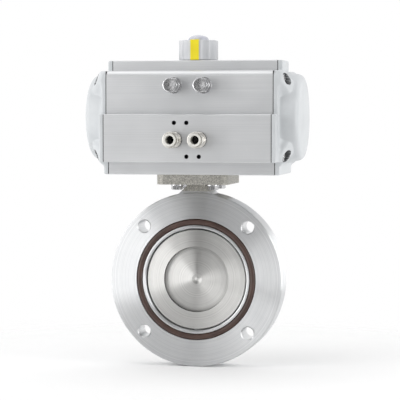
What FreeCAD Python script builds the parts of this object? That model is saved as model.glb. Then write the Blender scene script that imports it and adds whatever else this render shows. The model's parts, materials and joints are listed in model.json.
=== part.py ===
import FreeCAD, Part
import math
import os
import re
import Sketcher

# A butterfly valve turned by a two-piston rack-and-pinion air actuator.  Millimetres.
# Origin: where the pipe axis (Y) meets the stem axis (Z), in the middle of the flange.
# The valve is closed at rest: the disc stands across the pipe.

Vector = FreeCAD.Vector
doc = FreeCAD.newDocument("butterfly_valve")
sheet = doc.addObject("Spreadsheet::Sheet", "Sizes")

# Driving sizes, written once and kept in the sheet.
sizes = {
    # clearances
    "running_gap": 0.05,
    "fixed_gap": 0.02,
    "screw_gap": 0.3,
    "head_gap": 0.5,
    "seal_room": 0.1,
    "face_seal_room": 0.2,
    # flange and its face seals
    "flange_diameter": 170,
    "flange_thickness": 28,
    "bore_diameter": 100,
    "bolt_circle": 145,
    "bolt_hole": 12,
    "bolt_hole_chamfer": 0.8,
    "flange_chamfer": 1.2,
    "bore_chamfer": 1.2,
    "face_seal_diameter": 112,
    "face_seal_cord": 6,
    "face_seal_proud": 1,
    # neck and the pad that carries the actuator
    "neck_width": 18,
    "neck_depth": 26,
    "neck_flare": 14,
    "neck_root": 6,
    "plate_side": 70,
    "plate_thickness": 9.5,
    "plate_corner": 8,
    "seat_height": 102.5,
    "plate_bolt_circle": 50,
    "plate_bolt": 6,
    "plate_bolt_head": 4,
    "plate_bolt_flats": 10,
    "plate_bolt_grip": 9,
    "plate_washer": 1.6,
    # stem, bushes and seals
    "stem_diameter": 12,
    "bush_wall": 1,
    "bush_inset": 4,
    "bush_length": 14,
    "gland_length": 16,
    "stem_seal_cord": 2.4,
    "stem_seal_start": 4,
    "stem_seal_step": 5,
    "stem_square": 9,
    "stem_square_length": 16,
    "foot_journal": 18,
    # disc
    "disc_gap": 0.35,
    "disc_face_wall": 1,
    "disc_recess": 64,
    "disc_recess_depth": 3.2,
    "disc_recess_slope": 0.2,
    "disc_centre_mark": 10,
    "disc_centre_depth": 1.4,
    "disc_seal_cord": 4,
    "disc_seal_wall": 0.5,
    "disc_seal_gap": 0.3,
    "disc_screw": 6,
    "disc_screw_head": 10,
    "disc_screw_head_depth": 3.3,
    "disc_screw_sink": 0.5,
    "disc_screw_reach": 3,
    "disc_screw_margin": 24,
    # actuator body
    "actuator_length": 161.5,
    "cylinder_bore": 83,
    "floor_wall": 13.4,
    "roof_wall": 13.5,
    "foot_height": 12.3,
    "foot_depth": 73,
    "port_wall": 15.3,
    "port_face_rise": 3.1,
    "panel_wall": 4.4,
    "shoulder_rise": 3.1,
    "ridge_width": 39,
    "shoulder_round": 6,
    # air ports and the accessory patterns
    "port_height": 33.9,
    "port_spacing": 24,
    "port_thread": 12,
    "port_thread_depth": 8,
    "port_channel": 6,
    "gallery_diameter": 4.4,
    "gallery_wall": 3.5,
    "gallery_drop": 5.9,
    "port_screw_rows": 32,
    "accessory_hole": 4.2,
    "accessory_hole_depth": 11,
    "top_pattern_length": 80,
    "top_pattern_width": 30,
    # end caps
    "gasket_thickness": 0.8,
    "gasket_inset": 0.5,
    "cap_plate": 4.2,
    "cap_boss_wall": 2.9,
    "cap_boss_taper": 4,
    "cap_reach": 23.25,
    "cap_lug": 17,
    "cap_lug_reach": 11,
    "cap_edge_round": 4,
    "cap_web_inset": 6,
    "cap_web_spread": 16,
    "cap_cavity": 66,
    "cap_cavity_depth": 12,
    "cap_screw_wall": 10.12,
    "cap_screw": 6,
    "cap_screw_head": 10,
    "cap_screw_head_depth": 6,
    "cap_screw_sink": 8,
    "cap_screw_grip": 16,
    # gear and pistons
    "gear_module": 2,
    "gear_teeth": 16,
    "gear_face": 31,
    "gear_backlash": 0.2,
    "pinion_shaft": 24,
    "pinion_foot": 32,
    "pinion_foot_wall": 2.5,
    "pinion_foot_lift": 0.7,
    "pinion_foot_height": 14.5,
    "foot_seal_height": 7,
    "foot_bearing_start": 0.3,
    "foot_bearing_end": 13.2,
    "pinion_neck": 20,
    "pinion_neck_wall": 3,
    "neck_seal_drop": 4.5,
    "neck_bearing_start": 14.9,
    "neck_bearing_end": 0.2,
    "pinion_seal_cord": 2.6,
    "pinion_rise": 14,
    "pinion_flats": 15,
    "sleeve_square": 14,
    "piston_inner": 34,
    "piston_thickness": 18,
    "piston_cup": 58,
    "piston_cup_depth": 10,
    "piston_gap": 0.35,
    "piston_seal_cord": 3.5,
    "guide_band_wall": 3,
    "piston_seal_wall": 13,
    "guide_band_width": 5,
    "guide_band_depth": 1.5,
    "arm_reach": 33,
    "arm_back_gap": 0.8,
    "guide_pad_length": 20,
    "guide_pad_height": 14,
    "guide_pad_thickness": 2.2,
    "guide_pad_inset": 3,
    # travel stops
    "stop_spacing": 29,
    "stop_rise": 30.6,
    "stop_bolt": 8,
    "stop_flats": 13,
    "stop_head": 5.3,
    "stop_nut": 6.5,
    "stop_washer": 1.6,
    "stop_washer_diameter": 16,
    "stop_stand": 14.1,
    "stop_tip": 12.3,
    "cam_diameter": 42,
    "cam_hub": 30,
    "cam_height": 9.6,
    "cam_face": 12,
    "cam_gap": 0.7,
    "cam_end_gap": 0.5,
    # push-in fittings
    "fitting_diameter": 15.5,
    "fitting_ring": 3.5,
    "fitting_neck": 13.4,
    "fitting_flats": 14,
    "fitting_hex": 5,
    "fitting_reach": 16.7,
    "fitting_washer": 1,
    "fitting_channel": 5,
    "tube_diameter": 8.1,
    "tube_depth": 12,
    "collet_diameter": 10.4,
    "collet_head": 12.4,
    "collet_head_depth": 1.2,
    "collet_pocket": 6,
    "collet_travel": 1.6,
    # position indicator
    "knob_diameter": 38,
    "knob_height": 19.5,
    "knob_lift": 0.5,
    "knob_skirt": 31.2,
    "knob_skirt_depth": 5.5,
    "knob_ribs": 12,
    "knob_rib_round": 3,
    "knob_rib_lift": 2.25,
    "pointer_width": 8.3,
    "pointer_depth": 2,
    "indicator_cap": 20,
    "indicator_cap_height": 5,
    "indicator_screw": 5,
    "indicator_screw_head": 9,
    "indicator_screw_length": 12,
    "indicator_screw_seat": 2.4,
    "indicator_screw_height": 3,
    "thrust_washer": 1.5,
    "circlip": 1.2,
    "circlip_diameter": 25,
}

# Places and radii worked out from the sizes above.
places = {
    "flange_radius": "flange_diameter / 2",
    "flange_half": "flange_thickness / 2",
    "bore_radius": "bore_diameter / 2",
    "stem_radius": "stem_diameter / 2",
    "bush_radius": "stem_radius + running_gap + bush_wall",
    "stem_hole": "bush_radius + fixed_gap",
    "bush_start": "bore_radius + bush_inset",
    "gland_start": "seat_height - gland_length",
    "plate_bottom": "seat_height - plate_thickness",
    "plate_bolt_place": "plate_bolt_circle / 2 * cos(45)",
    "disc_half": "stem_radius + disc_seal_wall + disc_seal_cord + disc_face_wall",
    "disc_radius": "bore_radius - disc_gap",
    "disc_seal_radius": "bore_radius - disc_seal_gap - disc_seal_cord / 2",
    "disc_seal_lean": "asin((stem_radius + disc_seal_wall + disc_seal_cord / 2) / disc_seal_radius)",
    "disc_screw_place": "bore_radius - disc_screw_margin",
    "foot_end": "-(bore_radius + foot_journal)",
    "body_half": "actuator_length / 2",
    "cylinder_radius": "cylinder_bore / 2",
    "cylinder_z": "seat_height + floor_wall + cylinder_radius",
    "cylinder_top": "cylinder_z + cylinder_radius",
    "body_top": "cylinder_top + roof_wall",
    "port_face": "cylinder_radius + port_wall",
    "port_face_top": "cylinder_z + port_face_rise",
    "panel_depth": "cylinder_radius + panel_wall",
    "shoulder_z": "cylinder_top + shoulder_rise",
    "gallery_depth": "cylinder_radius + gallery_wall",
    "port_z": "seat_height + port_height",
    "stop_z": "cylinder_z + stop_rise",
    "gallery_z": "port_z - gallery_drop",
    "cap_start": "body_half + gasket_thickness",
    "cap_end": "cap_start + cap_reach - gasket_thickness",
    "cap_boss_radius": "cylinder_radius + cap_boss_wall",
    "cap_boss_end": "cap_boss_radius - cap_boss_taper",
    "cap_screw_offset": "(cylinder_radius + cap_screw_wall) * cos(45)",
    "lug_end": "cap_start + cap_lug_reach",
    "pitch_radius": "gear_module * gear_teeth / 2",
    "gear_bottom": "cylinder_z - gear_face / 2",
    "gear_top": "cylinder_z + gear_face / 2",
    "pinion_foot_radius": "pinion_foot / 2",
    "foot_bearing_radius": "pinion_foot_radius + running_gap + pinion_foot_wall",
    "pinion_neck_radius": "pinion_neck / 2",
    "neck_bearing_radius": "pinion_neck_radius + running_gap + pinion_neck_wall",
    "pinion_bottom": "seat_height + pinion_foot_lift",
    "pinion_foot_top": "seat_height + pinion_foot_height",
    "foot_seal_z": "seat_height + foot_seal_height",
    "neck_seal_z": "body_top - neck_seal_drop",
    "pinion_neck_bottom": "stop_z + cam_height / 2 + cam_end_gap + seal_room",
    "pinion_top": "body_top + pinion_rise",
    "circlip_z": "body_top + thrust_washer + seal_room",
    "piston_outer": "piston_inner + piston_thickness",
    "piston_radius": "cylinder_radius - piston_gap",
    "slide_radius": "cylinder_radius - running_gap",
    "stop_x": "stop_spacing / 2",
    "stop_radius": "stop_bolt / 2",
    "stop_head_back": "-(panel_depth + stop_stand)",
    "fitting_start": "-(port_face + fitting_washer)",
    "fitting_end": "-(port_face + fitting_washer + fitting_reach)",
    "knob_bottom": "body_top + knob_lift",
    "knob_top": "knob_bottom + knob_height",
    "knob_radius": "knob_diameter / 2",
}

for row, (alias, value) in enumerate(sizes.items(), start=1):
    sheet.set(f"A{row}", alias.replace("_", " "))
    sheet.set(f"B{row}", str(value))
    sheet.setAlias(f"B{row}", alias)
doc.recompute()


def bound(expression):
    """The expression with each size written as its sheet cell and each place written out."""
    def swap(match):
        word = match.group()
        if word in sizes:
            return "Sizes." + word
        if word in places:
            return "(" + bound(places[word]) + ")"
        return word
    return re.sub(r"[a-z][a-z_0-9]*", swap, str(expression))


def number(expression):
    """The value that the sheet gives for an expression."""
    return float(sheet.evalExpression(bound(expression)))


def bind(item, **values):
    for name, expression in values.items():
        item.setExpression(name, bound(expression))


turned = {
    "X": FreeCAD.Rotation(Vector(0, 1, 0), 90),
    "Y": FreeCAD.Rotation(Vector(1, 0, 0), -90),
    "Z": FreeCAD.Rotation(),
}
order = {"X": ("start", 0, 1), "Y": (0, "start", 1), "Z": (0, 1, "start")}


def place(item, axis, start, centre):
    """Stand an item on an axis: start is along it, centre gives the two other places."""
    item.Placement = FreeCAD.Placement(Vector(), turned[axis])
    for letter, pick in zip("xyz", order[axis]):
        expression = start if pick == "start" else centre[pick]
        item.setExpression("Placement.Base." + letter, bound(expression))


def rod(radius, axis, start, end, centre=("0", "0")):
    item = doc.addObject("Part::Cylinder", "Rod")
    bind(item, Radius=radius, Height=f"({end}) - ({start})")
    place(item, axis, start, centre)
    return item


def taper(radius, end_radius, axis, start, end, centre=("0", "0")):
    item = doc.addObject("Part::Cone", "Taper")
    bind(item, Radius1=radius, Radius2=end_radius, Height=f"({end}) - ({start})")
    place(item, axis, start, centre)
    return item


def hexagon(flats, axis, start, end, centre=("0", "0")):
    item = doc.addObject("Part::Prism", "Hexagon")
    item.Polygon = 6
    bind(item, Circumradius=f"({flats}) / 2 / cos(30)", Height=f"({end}) - ({start})")
    place(item, axis, start, centre)
    return item


def block(x, y, z):
    """A box between two places on each axis."""
    item = doc.addObject("Part::Box", "Block")
    for size, letter, (low, high) in zip(("Length", "Width", "Height"), "xyz", (x, y, z)):
        item.setExpression(size, bound(f"({high}) - ({low})"))
        item.setExpression("Placement.Base." + letter, bound(low))
    return item


def cord_ring(radius, cord, axis="Z", start="0", centre=("0", "0")):
    item = doc.addObject("Part::Torus", "CordRing")
    bind(item, Radius1=radius, Radius2=cord)
    place(item, axis, start, centre)
    return item


def fuse(*items):
    joined = doc.addObject("Part::MultiFuse", "Fuse")
    joined.Shapes = list(items)
    joined.Refine = True
    return joined


def cut(base, *tools):
    result = doc.addObject("Part::Cut", "Cut")
    result.Base = base
    result.Tool = tools[0] if len(tools) == 1 else fuse(*tools)
    return result


def common(*items):
    shared = doc.addObject("Part::MultiCommon", "Common")
    shared.Shapes = list(items)
    return shared


def group(*items):
    together = doc.addObject("Part::Compound", "Group")
    together.Links = list(items)
    return together


def mirrored(item):
    """The same item on the other side of the stem axis, left for right."""
    copy = doc.addObject("Part::Mirroring", "Mirror")
    copy.Source = item
    copy.Normal = Vector(1, 0, 0)
    return copy


def washer(outer, inner, axis, start, end, centre=("0", "0")):
    hole = rod(inner, axis, f"({start}) - 1", f"({end}) + 1", centre)
    return cut(rod(outer, axis, start, end, centre), hole)


def corners(half_a, half_b):
    """The four places at plus and minus two half spacings, going round."""
    signs = ((1, 1), (-1, 1), (-1, -1), (1, -1))
    return [(f"{a} * ({half_a})", f"{b} * ({half_b})") for a, b in signs]


def sketched(role, outline):
    """A body with a closed straight-sided sketch whose corners are bound to expressions."""
    body = doc.addObject("PartDesign::Body", "Body")
    sketch = body.newObject("Sketcher::SketchObject", "Outline")
    plane = [item for item in body.Origin.OriginFeatures if item.Role == role][0]
    sketch.AttachmentSupport = [(plane, "")]
    sketch.MapMode = "FlatFace"
    points = [Vector(number(a), number(b), 0) for a, b in outline]
    count = len(points)
    for index in range(count):
        sketch.addGeometry(Part.LineSegment(points[index], points[(index + 1) % count]), False)
    for index in range(count):
        sketch.addConstraint(Sketcher.Constraint("Coincident", index, 2, (index + 1) % count, 1))
    for index, corner in enumerate(outline):
        for kind, expression in zip(("DistanceX", "DistanceY"), corner):
            made = Sketcher.Constraint(kind, -1, 1, index, 1, number(expression))
            slot = sketch.addConstraint(made)
            sketch.setExpression(f"Constraints[{slot}]", bound(expression))
    return body, sketch


def padded(role, outline, length, **base):
    """A pad of a sketched outline; base gives the body's own place."""
    body, sketch = sketched(role, outline)
    pad = body.newObject("PartDesign::Pad", "Pad")
    pad.Profile = sketch
    bind(pad, Length=length)
    for letter, expression in base.items():
        body.setExpression("Placement.Base." + letter, bound(expression))
    doc.recompute()
    return body


def revolved(outline):
    """A shape turned about Z from an outline of radius and height."""
    body, sketch = sketched("XZ_Plane", outline)
    turn = body.newObject("PartDesign::Revolution", "Revolution")
    turn.Profile = sketch
    turn.ReferenceAxis = (sketch, ["V_Axis"])
    turn.Angle = 360
    doc.recompute()
    return body


def rounded(body, wanted, radius, kind="PartDesign::Fillet"):
    """Round or chamfer the edges of a body's last feature that a test picks."""
    base = body.Tip
    names = [f"Edge{i}" for i, edge in enumerate(base.Shape.Edges, start=1) if wanted(edge)]
    feature = body.newObject(kind, "Edges")
    feature.Base = (base, names)
    bind(feature, **{"Radius" if kind.endswith("Fillet") else "Size": radius})
    doc.recompute()
    return body


def runs_along(edge, axis):
    """Whether a straight edge runs along an axis."""
    if not isinstance(edge.Curve, Part.Line):
        return False
    direction = edge.Curve.Direction
    return abs(getattr(direction, axis)) > 0.999


pieces = []


def piece(label, item):
    item.Label = label
    pieces.append(item)
    return item


# Valve body: flange, neck and the pad that carries the actuator.

flange = revolved([
    ("bore_radius", "-flange_half + bore_chamfer"),
    ("bore_radius + bore_chamfer", "-flange_half"),
    ("flange_radius - flange_chamfer", "-flange_half"),
    ("flange_radius", "-flange_half + flange_chamfer"),
    ("flange_radius", "flange_half - flange_chamfer"),
    ("flange_radius - flange_chamfer", "flange_half"),
    ("bore_radius + bore_chamfer", "flange_half"),
    ("bore_radius", "flange_half - bore_chamfer"),
])
flange.Placement = FreeCAD.Placement(Vector(), turned["Y"])
neck = padded("XZ_Plane", [
    ("-neck_width / 2 - neck_flare", "bore_radius + neck_root"),
    ("neck_width / 2 + neck_flare", "bore_radius + neck_root"),
    ("neck_width / 2 + neck_flare", "flange_radius - neck_flare / 2"),
    ("neck_width / 2", "plate_bottom - 2"),
    ("neck_width / 2", "plate_bottom + 1"),
    ("-neck_width / 2", "plate_bottom + 1"),
    ("-neck_width / 2", "plate_bottom - 2"),
    ("-neck_width / 2 - neck_flare", "flange_radius - neck_flare / 2"),
], "neck_depth", y="neck_depth / 2")
plate = padded("XY_Plane", corners("plate_side / 2", "plate_side / 2"),
               "plate_thickness", z="plate_bottom")
rounded(plate, lambda edge: runs_along(edge, "z"), "plate_corner")
flange_places = corners("bolt_circle / 2 * cos(45)", "bolt_circle / 2 * cos(45)")
plate_places = corners("plate_bolt_place", "plate_bolt_place")
seal_outer = "face_seal_diameter / 2 + face_seal_cord / 2 + face_seal_room"
seal_inner = "face_seal_diameter / 2 - face_seal_cord / 2 - face_seal_room"
groove_floor = "flange_half + face_seal_proud - face_seal_cord"
valve_body = cut(
    fuse(flange, neck, plate),
    *[rod("bolt_hole / 2", "Y", "-flange_half - 1", "flange_half + 1", at) for at in flange_places],
    *[taper("bolt_hole / 2 + bolt_hole_chamfer", "bolt_hole / 2", "Y", "-flange_half",
            "-flange_half + bolt_hole_chamfer", at) for at in flange_places],
    *[taper("bolt_hole / 2", "bolt_hole / 2 + bolt_hole_chamfer", "Y",
            "flange_half - bolt_hole_chamfer", "flange_half", at) for at in flange_places],
    *[rod("plate_bolt / 2 + screw_gap", "Z", "plate_bottom - 1", "seat_height + 1", at)
      for at in plate_places],
    washer(seal_outer, seal_inner, "Y", "-flange_half - 1", f"-({groove_floor})"),
    washer(seal_outer, seal_inner, "Y", groove_floor, "flange_half + 1"),
    rod("stem_radius + 0.4", "Z", "bore_radius - 2", "seat_height + 1"),
    rod("stem_hole", "Z", "bush_start", "seat_height + 1"),
    rod("stem_hole", "Z", "foot_end", "-bore_radius + 2"),
)
piece("valve_body", valve_body)
for label, side in (("face_seal_front", "-1"), ("face_seal_back", "1")):
    seal_y = f"{side} * (flange_half + face_seal_proud - face_seal_cord / 2)"
    piece(label, cord_ring("face_seal_diameter / 2", "face_seal_cord / 2", "Y", seal_y))

# Stem, its bushes, gland and O-rings.

first_stem_seal = "bush_start + bush_length + stem_seal_start"
stem_seal_heights = [first_stem_seal, first_stem_seal + " + stem_seal_step"]
stem_seal_radius = "stem_hole - running_gap - stem_seal_cord / 2"
square = ("-stem_square / 2", "stem_square / 2")
stem_top = "seat_height + stem_square_length"
stem = fuse(
    rod("stem_radius", "Z", "foot_end + 1", "seat_height"),
    common(rod("stem_radius", "Z", "seat_height - 1", stem_top),
           block(square, square, ("seat_height - 1", stem_top))),
)
stem_grooves = [
    washer("stem_radius + 1", f"{stem_seal_radius} - stem_seal_cord / 2", "Z",
           f"{height} - stem_seal_cord / 2 - seal_room",
           f"{height} + stem_seal_cord / 2 + seal_room")
    for height in stem_seal_heights
]
disc_screw_places = [("0", "-disc_screw_place"), ("0", "disc_screw_place")]
stem_threads = [rod("disc_screw / 2 + fixed_gap", "Y", "-disc_screw_reach", "stem_radius + 1", at)
                for at in disc_screw_places]
piece("stem", cut(stem, *stem_grooves, *stem_threads))
piece("stem_o_rings", group(*[cord_ring(stem_seal_radius, "stem_seal_cord / 2", "Z", height)
                              for height in stem_seal_heights]))
bush_bore = "stem_radius + running_gap"
piece("stem_bush_upper", washer("bush_radius", bush_bore, "Z", "bush_start",
                                "bush_start + bush_length"))
piece("stem_bush_lower", washer("bush_radius", bush_bore, "Z", "foot_end + 0.5",
                                "-bore_radius - 1"))
piece("gland_bush", washer("bush_radius", bush_bore, "Z", "gland_start", "seat_height"))

# Disc: a slice of a ball, so that it turns inside the round bore; its seal lies in a
# groove that leans in front of the stem at the top and behind it at the bottom.

ball = doc.addObject("Part::Sphere", "Ball")
bind(ball, Radius="disc_radius")
disc_blank = common(ball, rod("disc_radius + 1", "Y", "-disc_half", "disc_half"))
lean = FreeCAD.Placement(Vector(), FreeCAD.Rotation(Vector(1, 0, 0), number("disc_seal_lean") - 90))
seal_half = "disc_seal_cord / 2 + seal_room"
disc_groove = washer("bore_radius", "disc_seal_radius - disc_seal_cord / 2", "Z",
                     f"-({seal_half})", seal_half)
disc_groove.Placement = lean
drilled_disc = cut(
    disc_blank,
    rod("stem_radius + fixed_gap", "Z", "-bore_radius", "bore_radius"),
    taper("disc_recess / 2", "disc_recess / 2 - disc_recess_slope", "Y", "-disc_half",
          "-disc_half + disc_recess_depth"),
    taper("disc_centre_mark / 2", "disc_centre_mark / 2 - disc_centre_depth * 2", "Y",
          "-disc_half + disc_recess_depth", "-disc_half + disc_recess_depth + disc_centre_depth"),
    *[rod("disc_screw / 2 + screw_gap", "Y", "0", "disc_half + 1", at) for at in disc_screw_places],
    *[rod("disc_screw_head / 2 + screw_gap", "Y", "disc_half - disc_screw_sink - disc_screw_head_depth",
          "disc_half + 1", at) for at in disc_screw_places],
)
piece("disc", cut(drilled_disc, disc_groove))
disc_seal = cord_ring("disc_seal_radius", "disc_seal_cord / 2")
disc_seal.Placement = lean
piece("disc_o_ring", disc_seal)
screw_head_top = "disc_half - disc_screw_sink"
disc_screws = [
    cut(fuse(rod("disc_screw / 2", "Y", "-disc_screw_reach + 0.5", screw_head_top, at),
             rod("disc_screw_head / 2", "Y", f"{screw_head_top} - disc_screw_head_depth",
                 screw_head_top, at)),
        hexagon("disc_screw * 0.66", "Y", f"{screw_head_top} - 2", f"{screw_head_top} + 1", at))
    for at in disc_screw_places
]
piece("disc_screws", group(*disc_screws))

# Bolts that hold the actuator on the pad.

bolt_washer_bottom = "plate_bottom - plate_washer"
mounting_bolts = [
    fuse(hexagon("plate_bolt_flats", "Z", f"{bolt_washer_bottom} - plate_bolt_head",
                 bolt_washer_bottom, at),
         rod("plate_bolt / 2", "Z", f"{bolt_washer_bottom} - 0.5", "seat_height + plate_bolt_grip", at))
    for at in plate_places
]
piece("mounting_bolts", group(*mounting_bolts))
piece("mounting_washers", group(*[
    washer("plate_bolt", "plate_bolt / 2 + 0.2", "Z", bolt_washer_bottom, "plate_bottom", at)
    for at in plate_places
]))

# Actuator body: an extruded bar with one long cylinder bore.


def bar_outline(inset):
    """The bar's end outline in Y and Z, drawn in by an inset."""
    foot = f"foot_depth / 2 - {inset}"
    port = f"port_face - {inset}"
    panel = f"panel_depth - {inset}"
    ridge = f"ridge_width / 2 - {inset}"
    low = f"seat_height + {inset}"
    step = f"seat_height + foot_height + {inset}"
    port_top = f"port_face_top - {inset}"
    shoulder = f"shoulder_z - {inset}"
    top = f"body_top - {inset}"
    front = [(foot, low), (foot, step), (port, step), (port, port_top), (panel, port_top),
             (panel, shoulder), (ridge, shoulder), (ridge, top)]
    back = [(ridge, top), (ridge, shoulder), (panel, shoulder), (panel, step), (foot, step), (foot, low)]
    return [(f"-({y})", z) for y, z in front] + back


def near(value, expression):
    return abs(value - number(expression)) < 0.01


def bar_edges(edge, outer):
    """The long outer edges of the bar at the given height and depth."""
    point = edge.CenterOfMass
    return runs_along(edge, "x") and any(near(abs(point.y), y) and near(point.z, z) for y, z in outer)


shoulder_edge = [("panel_depth", "shoulder_z")]
small_edges = [
    ("port_face", "seat_height + foot_height"),
    ("port_face", "port_face_top"),
    ("ridge_width / 2", "body_top"),
    ("foot_depth / 2", "seat_height"),
    ("panel_depth", "seat_height + foot_height"),
]
small_round = "1.2"


def bar(inset, length, start):
    body = padded("YZ_Plane", bar_outline(inset), length, x=start)
    if inset == "0":
        rounded(body, lambda edge: bar_edges(edge, shoulder_edge), "shoulder_round")
        rounded(body, lambda edge: bar_edges(edge, small_edges), small_round)
    return body


cap_screw_places = [(y, f"cylinder_z + {z}") for y, z in
                    corners("cap_screw_offset", "cap_screw_offset")]
port_places = {"left": "-port_spacing / 2", "right": "port_spacing / 2"}
port_screw_places = [(x, f"port_z + {z} * port_screw_rows / 2")
                     for x, z in (("-port_spacing / 2", 1), ("0", 1), ("0", -1), ("port_spacing / 2", -1))]
top_places = corners("top_pattern_length / 2", "top_pattern_width / 2")
stop_places = {"left": "-stop_x", "right": "stop_x"}
actuator_body = cut(
    bar("0", "actuator_length", "-body_half"),
    rod("cylinder_radius", "X", "-body_half - 1", "body_half + 1", ("0", "cylinder_z")),
    rod("foot_bearing_radius + fixed_gap", "Z", "seat_height - 1", "cylinder_z"),
    rod("neck_bearing_radius + fixed_gap", "Z", "cylinder_z", "body_top + 1"),
    rod("cam_diameter / 2 + cam_gap", "Z", "stop_z - cam_height / 2 - cam_end_gap",
        "stop_z + cam_height / 2 + cam_end_gap"),
    *[rod("plate_bolt / 2 + fixed_gap", "Z", "seat_height - 1", "seat_height + plate_bolt_grip + 1", at)
      for at in plate_places],
    *[rod("stop_radius + running_gap", "Y", "-panel_depth - 1", "-stop_tip", (x, "stop_z"))
      for x in stop_places.values()],
    *[rod("port_thread / 2 + fixed_gap", "Y", "-port_face - 1", "-port_face + port_thread_depth + 0.5",
          (x, "port_z")) for x in port_places.values()],
    rod("port_channel / 2", "Y", "-port_face", "-piston_inner", (port_places["left"], "port_z")),
    rod("port_thread / 2 - 1", "Y", "-port_face", "-gallery_depth + gallery_diameter / 2",
        (port_places["right"], "port_z")),
    rod("gallery_diameter / 2", "X", "-body_half - 1", "body_half + 1", ("-gallery_depth", "gallery_z")),
    *[rod("accessory_hole / 2", "Y", "-port_face - 1", "-port_face + accessory_hole_depth", at)
      for at in port_screw_places],
    *[rod("accessory_hole / 2", "Z", "body_top - accessory_hole_depth", "body_top + 1", at)
      for at in top_places],
    *[rod("cap_screw / 2 + fixed_gap", "X", start, end, at) for at in cap_screw_places
      for start, end in (("body_half - cap_screw_grip - 1", "body_half + 1"),
                         ("-body_half - 1", "-body_half + cap_screw_grip + 1"))],
)
piece("actuator_body", actuator_body)

# End caps with their gaskets and screws; the left ones mirror the right ones.


def lug_web():
    """A four-armed outline that joins each screw lug to the round boss."""
    lug = "cap_lug / 2 * cos(45)"
    near_boss = "(cap_boss_radius - cap_web_inset) * cos(45)"
    spread = "cap_web_spread * cos(45)"
    arm = [(f"{near_boss} + {spread}", f"{near_boss} - {spread}"),
           (f"cap_screw_offset + {lug}", f"cap_screw_offset - {lug}"),
           (f"cap_screw_offset - {lug}", f"cap_screw_offset + {lug}"),
           (f"{near_boss} - {spread}", f"{near_boss} + {spread}")]
    outline = []
    for _ in range(4):
        outline += arm
        arm = [(f"-({b})", a) for a, b in arm]
    return [(a, f"cylinder_z + ({b})") for a, b in outline]


cap_axis = ("0", "cylinder_z")
cap_boss = taper("cap_boss_radius", "cap_boss_end", "X", "cap_start", "cap_end", cap_axis)
doc.recompute()
boss_rim = [index for index, edge in enumerate(cap_boss.Shape.Edges, start=1)
            if near(edge.CenterOfMass.x, "cap_end") and edge.Closed]
round_boss = doc.addObject("Part::Fillet", "RoundBoss")
round_boss.Base = cap_boss
round_boss.Edges = [(index, number("cap_edge_round"), number("cap_edge_round")) for index in boss_rim]
gallery_slot = block(("cap_start - 1", "cap_start + 3"),
                     ("-gallery_depth - gallery_diameter / 2", "-cap_cavity / 3"),
                     ("gallery_z - gallery_diameter / 2", "gallery_z + gallery_diameter / 2"))
right_cap = cut(
    fuse(bar("0", "cap_plate", "cap_start"), round_boss,
         padded("YZ_Plane", lug_web(), "cap_lug_reach", x="cap_start"),
         *[rod("cap_lug / 2", "X", "cap_start", "lug_end", at) for at in cap_screw_places]),
    rod("cap_cavity / 2", "X", "cap_start - 1", "cap_start + cap_cavity_depth", cap_axis),
    gallery_slot,
    *[rod("cap_screw / 2 + screw_gap", "X", "cap_start - 1", "lug_end", at) for at in cap_screw_places],
    *[rod("cap_screw_head / 2 + head_gap", "X", "lug_end - cap_screw_sink", "cap_end", at)
      for at in cap_screw_places],
)
right_gasket = cut(
    bar("gasket_inset", "gasket_thickness", "body_half"),
    rod("cylinder_radius", "X", "body_half - 1", "cap_start + 1", cap_axis),
    rod("gallery_diameter / 2", "X", "body_half - 1", "cap_start + 1", ("-gallery_depth", "gallery_z")),
    *[rod("cap_screw / 2 + screw_gap", "X", "body_half - 1", "cap_start + 1", at) for at in cap_screw_places],
)
head_back = "lug_end - cap_screw_sink"
head_front = f"{head_back} + cap_screw_head_depth"
right_screws = group(*[
    cut(fuse(rod("cap_screw / 2", "X", "body_half - cap_screw_grip", f"{head_back} + 1", at),
             rod("cap_screw_head / 2", "X", head_back, head_front, at)),
        hexagon("cap_screw * 0.84", "X", f"{head_front} - 3", f"{head_front} + 1", at))
    for at in cap_screw_places
])
for label, item in (("end_cap", right_cap), ("cap_gasket", right_gasket), ("cap_screws", right_screws)):
    piece(label + "_right", item)
    piece(label + "_left", mirrored(item))

# Pinion: a turned shaft with one spur gear, a square socket below and flats above.


def solid_from(points, bottom, top):
    """A prism of a closed outline between two heights."""
    base = [Vector(x, y, bottom) for x, y in points]
    face = Part.Face(Part.makePolygon(base + base[:1]))
    return face.extrude(Vector(0, 0, top - bottom))


pressure_angle = math.radians(20)
flank_points = 6


def involute(angle):
    return math.tan(angle) - angle


def gear_points():
    """Involute teeth with straight roots, one tooth centred on the +X axis."""
    module = number("gear_module")
    teeth = int(number("gear_teeth"))
    pitch = number("pitch_radius")
    base = pitch * math.cos(pressure_angle)
    tip = pitch + module
    root = pitch - 1.25 * module
    half = math.pi / (2 * teeth) - number("gear_backlash") / 4 / pitch + involute(pressure_angle)
    flank = [(root, half)]
    for step in range(flank_points):
        radius = base + (tip - base) * step / (flank_points - 1)
        flank.append((radius, half - involute(math.acos(base / radius))))
    tooth = [(radius, -angle) for radius, angle in flank] + flank[::-1]
    return [(radius * math.cos(angle + turn), radius * math.sin(angle + turn))
            for turn in (2 * math.pi * index / teeth for index in range(teeth))
            for radius, angle in tooth]


gear = doc.addObject("Part::Feature", "Gear")
gear.Shape = solid_from(gear_points(), number("gear_bottom"), number("gear_top"))
shaft = revolved([
    ("0", "pinion_bottom"),
    ("pinion_foot_radius", "pinion_bottom"),
    ("pinion_foot_radius", "pinion_foot_top"),
    ("pinion_shaft / 2", "pinion_foot_top"),
    ("pinion_shaft / 2", "pinion_neck_bottom"),
    ("pinion_neck_radius", "pinion_neck_bottom"),
    ("pinion_neck_radius", "pinion_top"),
    ("0", "pinion_top"),
])
seal_half_pinion = "pinion_seal_cord / 2 + seal_room"


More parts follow.
